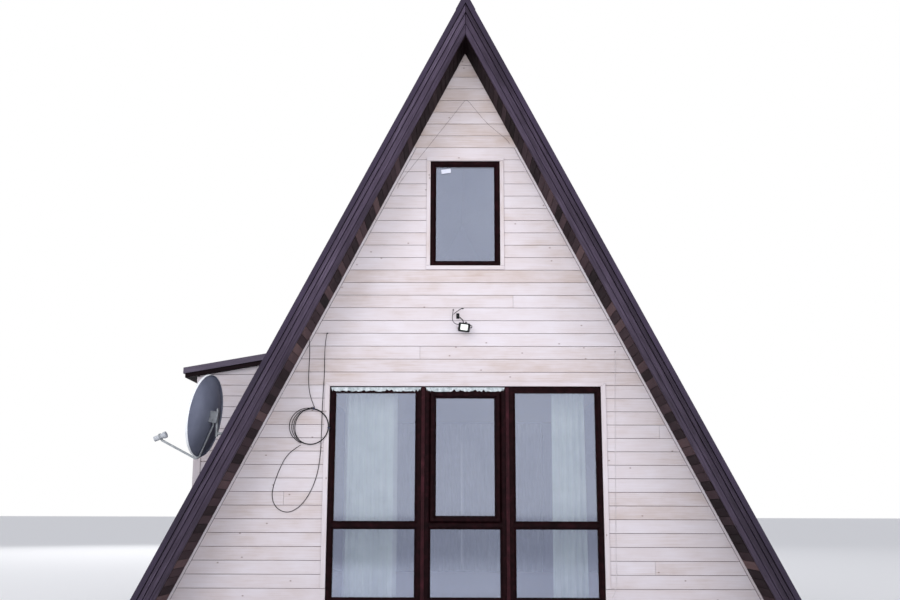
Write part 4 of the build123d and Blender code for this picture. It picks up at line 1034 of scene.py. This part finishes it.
# Curtains: voile gathered on a track, in folds that wander a little on the way down
curtainLook = {"y": 3.49, "top": 2.914, "low": 0.430, "depth": 0.044, "rows": 48, "columnsPerFold": 14,
               "sideSwing": 0.0055, "sway": 0.012, "hemDip": 0.004, "drift": 0.35, "uneven": 0.5,
               "topSwell": 0.62, "swell": 0.2, "turn": 6.283, "driftDown": 1.7,
               "waves": (6.594, 5, 9, 3.2)}    # across the width: of drift, unevenness, swell and sway
curtains = {    # node, side of the cabin, left, right, folds, seed, and gather: under one crowds the left end
    "leftCurtain": ("front_curtains", -1, -1.292, -0.738, 7, 3, 0.75),
    "rightCurtain": ("front_curtains", -1, 0.940, 1.292, 5, 8, 1.25),
    "backLeftCurtain": ("back_curtains", 1, -1.384, -0.003, 17, 5, 1.0),
    "backRightCurtain": ("back_curtains", 1, 0.003, 1.384, 17, 12, 1.0),
}


def makeCurtain(name, nodeName, facing, left, right, folds, seed, gather):
    wander = random.Random(seed)
    phases = [wander.uniform(0, 6.28) for fold in range(4)]
    driftWave, unevenWave, swellWave, swayWave = curtainLook["waves"]
    columns, rows = folds * curtainLook["columnsPerFold"], curtainLook["rows"]
    height = curtainLook["top"] - curtainLook["low"]
    points, faces = [], []
    for row in range(rows + 1):
        down = row / rows
        for column in range(columns + 1):
            share = column / columns
            drift = curtainLook["drift"] * down * math.sin(
                driftWave * share + phases[0] + curtainLook["driftDown"] * down)
            uneven = curtainLook["uneven"] * math.sin(unevenWave * share + phases[1])
            phase = curtainLook["turn"] * folds * share ** gather + drift + uneven
            swell = (curtainLook["topSwell"] + (1 - curtainLook["topSwell"]) * down
                     + curtainLook["swell"] * math.sin(swellWave * share + phases[2]) * down)
            x = (left + (right - left) * share + curtainLook["sideSwing"] * math.sin(2 * phase)
                 + curtainLook["sway"] * down * math.sin(swayWave * share + phases[3]))
            y = facing * curtainLook["y"] + curtainLook["depth"] * min(1.0, swell) * math.sin(phase)
            z = curtainLook["top"] - height * down + curtainLook["hemDip"] * math.cos(phase) * down
            points.append((x, y, z))
    for row in range(rows):
        for column in range(columns):
            a = row * (columns + 1) + column
            faces.append((a, a + 1, a + columns + 2, a + columns + 1))
    mesh = bpy.data.meshes.new(name)
    mesh.from_pydata(points, [], faces)
    piece = dressPiece(name, mesh, curtainVoile, "curtain_fabric", (nodeName,), smooth=True)


for name, values in curtains.items():
    makeCurtain(name, *values)
print("curtains made")

# Dish: lip and bolts over the pressed bowl, in the dish's own frame
dishLook = {"centre": Vector((-2.750, -3.850, 2.400)), "turn": 9.4, "lean": 8.4,
            # the lip wraps the rolled rim: reach from the middle, and height off the rim
            "lip": ((0.427, 0.0003), (0.427, 0.0018), (0.4346, 0.0018), (0.4352, 0.0010), (0.4352, -0.0202),
                    (0.4346, -0.0210), (0.4297, -0.0210), (0.4297, -0.0203), (0.4332, -0.0203),
                    (0.4332, 0.0003)),
            "lipSides": 120,
            "bowlBolts": ((-0.024, 0.045), (0.024, 0.045), (-0.024, -0.045), (0.024, -0.045)),
            "sideBolts": ((-0.041, -0.035), (0.041, -0.035), (-0.041, 0.035), (0.041, 0.035)),
            "bowlBolt": (0.004, 0.008), "sideBolt": (0.006, 0.009),    # length and radius of a head
            "bowlBoltsOut": -0.0745, "sideBoltsOut": -0.115}
turn, lean = math.radians(dishLook["turn"]), math.radians(dishLook["lean"])
dishNormal = Vector((-math.cos(turn) * math.cos(lean), math.sin(turn) * math.cos(lean), math.sin(lean)))
dishSide = Vector((math.sin(turn), math.cos(turn), 0))
dishUp = dishNormal.cross(dishSide).normalized()
if dishUp.z < 0:
    dishUp, dishSide = -dishUp, -dishSide


def dishPoint(side, up, out):
    return dishLook["centre"] + dishSide * side + dishUp * up + dishNormal * out


def lipProfile(angle):
    across, up = math.cos(angle), math.sin(angle)
    return [dishPoint(reach * across, reach * up, out) for reach, out in dishLook["lip"]]


lip = bmesh.new()
addClosedRing(lip, dishLook["lipSides"], lipProfile)
# the lip's light grey is a painted highlight of the sky-lit rim
dressFitting("dishLip", lip, lipPaintedHighlight, "painted_steel")

bolts = bmesh.new()
length, radius = dishLook["bowlBolt"]
for side, up in dishLook["bowlBolts"]:
    start = dishPoint(side, up, dishLook["bowlBoltsOut"])
    addRod(bolts, start, start + dishNormal * length, radius, 6)
length, radius = dishLook["sideBolt"]
for side, up in dishLook["sideBolts"]:
    start = dishPoint(side, up, dishLook["sideBoltsOut"])
    addRod(bolts, start, start + dishSide * math.copysign(length, side), radius, 6)
dressFitting("dishBolts", bolts, galvanisedSteel, "painted_steel")
print("dish dressed")

# Floodlight: fins on the back, knob on top and an eye at the side
lampLook = {"centre": (-0.012, 3.346), "tilt": -8, "back": wallY + 0.078,
            "fins": 7, "finPitch": 0.012, "finThickness": 0.0036, "finHalf": 0.034, "finDeep": 0.012,
            "finEased": 0.0006,
            "knob": (0.012, 0.046, 0.064), "knobBack": -0.017, "knobRadius": 0.010, "knobTop": 0.008,
            "lug": ((0.046, 0.034), (0.060, 0.029)), "lugRadius": 0.006,
            "eye": (0.068, 0.022), "eyeBack": 0.006, "eyeReach": 0.0125, "eyeRadius": 0.0042,
            "eyeAround": 28, "eyeSides": 10}
tilt = math.radians(lampLook["tilt"])
lampAcross = Vector((math.cos(tilt), 0, math.sin(tilt)))
lampUp = Vector((-math.sin(tilt), 0, math.cos(tilt)))


def lampPoint(across, up, behind):
    base = Vector((lampLook["centre"][0], -lampLook["back"] + behind, lampLook["centre"][1]))
    return base + lampAcross * across + lampUp * up


def eyeProfile(angle):
    # the eye is a ring that faces the front
    centre = lampPoint(*lampLook["eye"], lampLook["eyeBack"])
    turned = Vector((0, 1, 0)).to_track_quat("Z", "Y").to_matrix()
    points = []
    for step in range(lampLook["eyeSides"]):
        bend = math.tau * step / lampLook["eyeSides"]
        out, high = (lampLook["eyeReach"] + lampLook["eyeRadius"] * math.cos(bend),
                     lampLook["eyeRadius"] * math.sin(bend))
        points.append(centre + turned @ Vector((out * math.cos(angle), out * math.sin(angle), high)))
    return points


stock = newStock()
finHalf, thin = lampLook["finHalf"], lampLook["finThickness"] / 2
for fin in range(lampLook["fins"]):
    across = lampLook["finPitch"] * (fin - (lampLook["fins"] - 1) / 2)
    near = [lampPoint(a, up, 0) for a, up in boxOutline(across - thin, across + thin, -finHalf, finHalf)]
    addBoard(stock, near, (0, lampLook["finDeep"], 0), (0, 0, 1))
makePiece("floodlightFins", stock, blackCasting, "black_casting", bevel=lampLook["finEased"])
fittings = bmesh.new()
across, low, high = lampLook["knob"]
addRod(fittings, *(lampPoint(across, up, lampLook["knobBack"]) for up in (low, high)),
       lampLook["knobRadius"], 20, lampLook["knobTop"])
addRod(fittings, *(lampPoint(*place, lampLook["eyeBack"]) for place in lampLook["lug"]),
       lampLook["lugRadius"], 12)
addClosedRing(fittings, lampLook["eyeAround"], eyeProfile)
dressFitting("floodlightKnobAndEye", fittings, blackCasting, "black_casting", smooth=True)
print("floodlight dressed")

# Steel roofing: screws on the ribs, with a washer under each head
screwLook = {"ribs": 25, "edge": 0.100, "length": 8.48, "rows": (0.25, 1.85, 3.45, 5.05, 6.65, 7.35),
             "sheetDepth": 0.008, "parts": ((0.009, 0.0, 0.002, 12), (0.0055, 0.002, 0.0065, 6)),
             # none within the bay: how far past its half length, and between which heights
             "bayZones": ((0.13, bayUnder(-3.7, 0)[2] - 0.05, 3.60), (0.02, 0.0, 3.45))}
ribPitch = (screwLook["length"] - 2 * screwLook["edge"]) / (screwLook["ribs"] - 1)
screws = bmesh.new()
for side in (-1, 1):
    outward = Vector((side * math.cos(halfAngle), 0, math.sin(halfAngle)))
    for row in screwLook["rows"]:
        foot = Vector((0, 0, apexZ(screwLook["sheetDepth"]))) + slopeAlong(side) * row
        for rib in range(screwLook["ribs"]):
            foot.y = -screwLook["length"] / 2 + screwLook["edge"] + rib * ribPitch
            if side < 0 and any(abs(foot.y) < bayHalf + past and low < foot.z < high
                                for past, low, high in screwLook["bayZones"]):
                continue
            for radius, low, high, sides in screwLook["parts"]:
                addRod(screws, foot + outward * low, foot + outward * high, radius, sides)
dressFitting("roofScrews", screws, coatedSteel, "coated_steel")
print("roof details made")

# Entrance door: plate and lever on the leaf
handleLook = {"leaf": 0.025, "fromEdge": 0.06, "height": 1.02, "plateHalf": 0.018, "plateLow": 0.13,
              "plateHigh": 0.06, "plateThickness": 0.007, "plateEased": 0.003, "leverEased": 0.002,
              "spindleRadius": 0.009, "spindleEnds": (0.006, 0.045),
              "leverRadius": 0.008, "leverOut": 0.042, "leverEnds": (-0.004, 0.115)}
leafX = bayX + handleLook["leaf"]
handleY = doorLook["centreY"] - doorLook["width"] / 2 + handleLook["fromEdge"]
handleZ = floorTop + doorLook["sill"] + doorLook["gap"] + handleLook["height"]
stock = newStock()
near = [(leafX, y, z) for y, z in boxOutline(
    handleY - handleLook["plateHalf"], handleY + handleLook["plateHalf"],
    handleZ - handleLook["plateLow"], handleZ + handleLook["plateHigh"])]
addBoard(stock, near, (-handleLook["plateThickness"], 0, 0), (0, 0, 1))
makePiece("handlePlate", stock, galvanisedSteel, "painted_steel", bevel=handleLook["plateEased"], segments=2)
handle = bmesh.new()
addRod(handle, *((leafX - end, handleY, handleZ) for end in handleLook["spindleEnds"]),
       handleLook["spindleRadius"])
addRod(handle, *((leafX - handleLook["leverOut"], handleY + end, handleZ) for end in handleLook["leverEnds"]),
       handleLook["leverRadius"])
dressFitting("doorLever", handle, galvanisedSteel, "painted_steel",
             bevel=handleLook["leverEased"], segments=2)
print("door dressed")

# Finishes of the nodes that keep their own shape
nodeFinishes = {
    castConcrete: ("foundation_sides", "foundation_ends", "foundation_middle"),
    varnishedPine: ("ground_floor", "loft_floor"),
    stainedDeck: ("left_roof_panel", "right_roof_panel"),
    coatedSteel: ("left_roof_sheet", "right_roof_sheet", "ridge_cap", "verge_flashings", "bay_roof"),
    mahoganyFoil: ("entrance_door", "entrance_door_frame"),
    couplingFoil: ("window_couplings",),
    coatedGlass: ("front_glass", "back_glass"),
    dishPaint: ("dish_reflector",),
    galvanisedSteel: ("dish_bracket", "dish_feed_arm"),
    mouldedAbs: ("dish_receiver", "curtain_track"),
    blackCasting: ("floodlight", "floodlight_bracket"),
    lampPane: ("floodlight_glass",),
    blackRubber: ("cable_glands",),
}
for material, names in nodeFinishes.items():
    for name in names:
        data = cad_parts[name].data
        data.materials.clear()
        data.materials.append(material)
print("nodes finished")

# Pale floor, white surround and soft light. Each lamp has a power in watts, a place, a size, what it aims at
# and, where that is less than all round, the spread of its light in degrees.
stageLook = {"floorColour": "#F6F6F6", "surround": 1.0, "daylight": 0.64, "daylightColour": "#F4F6FF",
             "floorHalf": 300}
lamps = {"keyLamp": (1160, (-9, -17, 11), 9, (0, -3.5, 3), 180),
         "fillLamp": (420, (12, -14, 6), 9, (0, -3.5, 3), 180),
         "backLamp": (2000, (-16, 34, 17), 9, (0, 2, 3), 120),
         "frontLamp": (238, (0.5, -14, 4.4), 6, (0, -3.75, 6.9), 100)}
half = stageLook["floorHalf"]
floorMesh = bpy.data.meshes.new("floor")
floorMesh.from_pydata([(x, y, 0) for x, y in boxOutline(-half, half, -half, half)], [], [(0, 1, 2, 3)])
floor = placeObject("floor", floorMesh)
floorPaint = newMaterial("paleFloorPaint")
floorShader = addNode(floorPaint, "ShaderNodeBsdfPrincipled",
                      {"Base Color": toLinear(stageLook["floorColour"]), "Roughness": 0.9})
addNode(floorPaint, "ShaderNodeOutputMaterial", links={"Surface": floorShader.outputs[0]})
floorMesh.materials.append(floorPaint)


def setSurround(look):
    # White where the camera, a reflection or a ray through glass sees it, and daylight for everything else
    world = bpy.data.worlds.new("surround")
    bpy.context.scene.world = world
    world.use_nodes = True
    world.node_tree.nodes.clear()
    rays = addNode(world, "ShaderNodeLightPath")
    seen = rays.outputs["Is Camera Ray"]
    for kind in ("Is Glossy Ray", "Is Transmission Ray"):
        either = addNode(world, "ShaderNodeMath", {"operation": "MAXIMUM"}, {0: seen, 1: rays.outputs[kind]})
        seen = either.outputs[0]
    daylight = addNode(world, "ShaderNodeBackground",
                       {"Color": toLinear(look["daylightColour"]), "Strength": look["daylight"]})
    white = addNode(world, "ShaderNodeBackground", {"Color": (1, 1, 1, 1), "Strength": look["surround"]})
    mixed = addNode(world, "ShaderNodeMixShader",
                    links={0: seen, 1: daylight.outputs[0], 2: white.outputs[0]})
    addNode(world, "ShaderNodeOutputWorld", links={"Surface": mixed.outputs[0]})


setSurround(stageLook)
for name, (power, place, size, target, spread) in lamps.items():
    data = bpy.data.lights.new(name, "AREA")
    data.energy = power
    data.size = size
    data.spread = math.radians(spread)
    lamp = placeObject(name, data)
    lamp.location = place
    lamp.visible_glossy = False
    lamp.rotation_mode = "QUATERNION"
    lamp.rotation_quaternion = (Vector(target) - Vector(place)).to_track_quat("-Z", "Y")
print("light set")
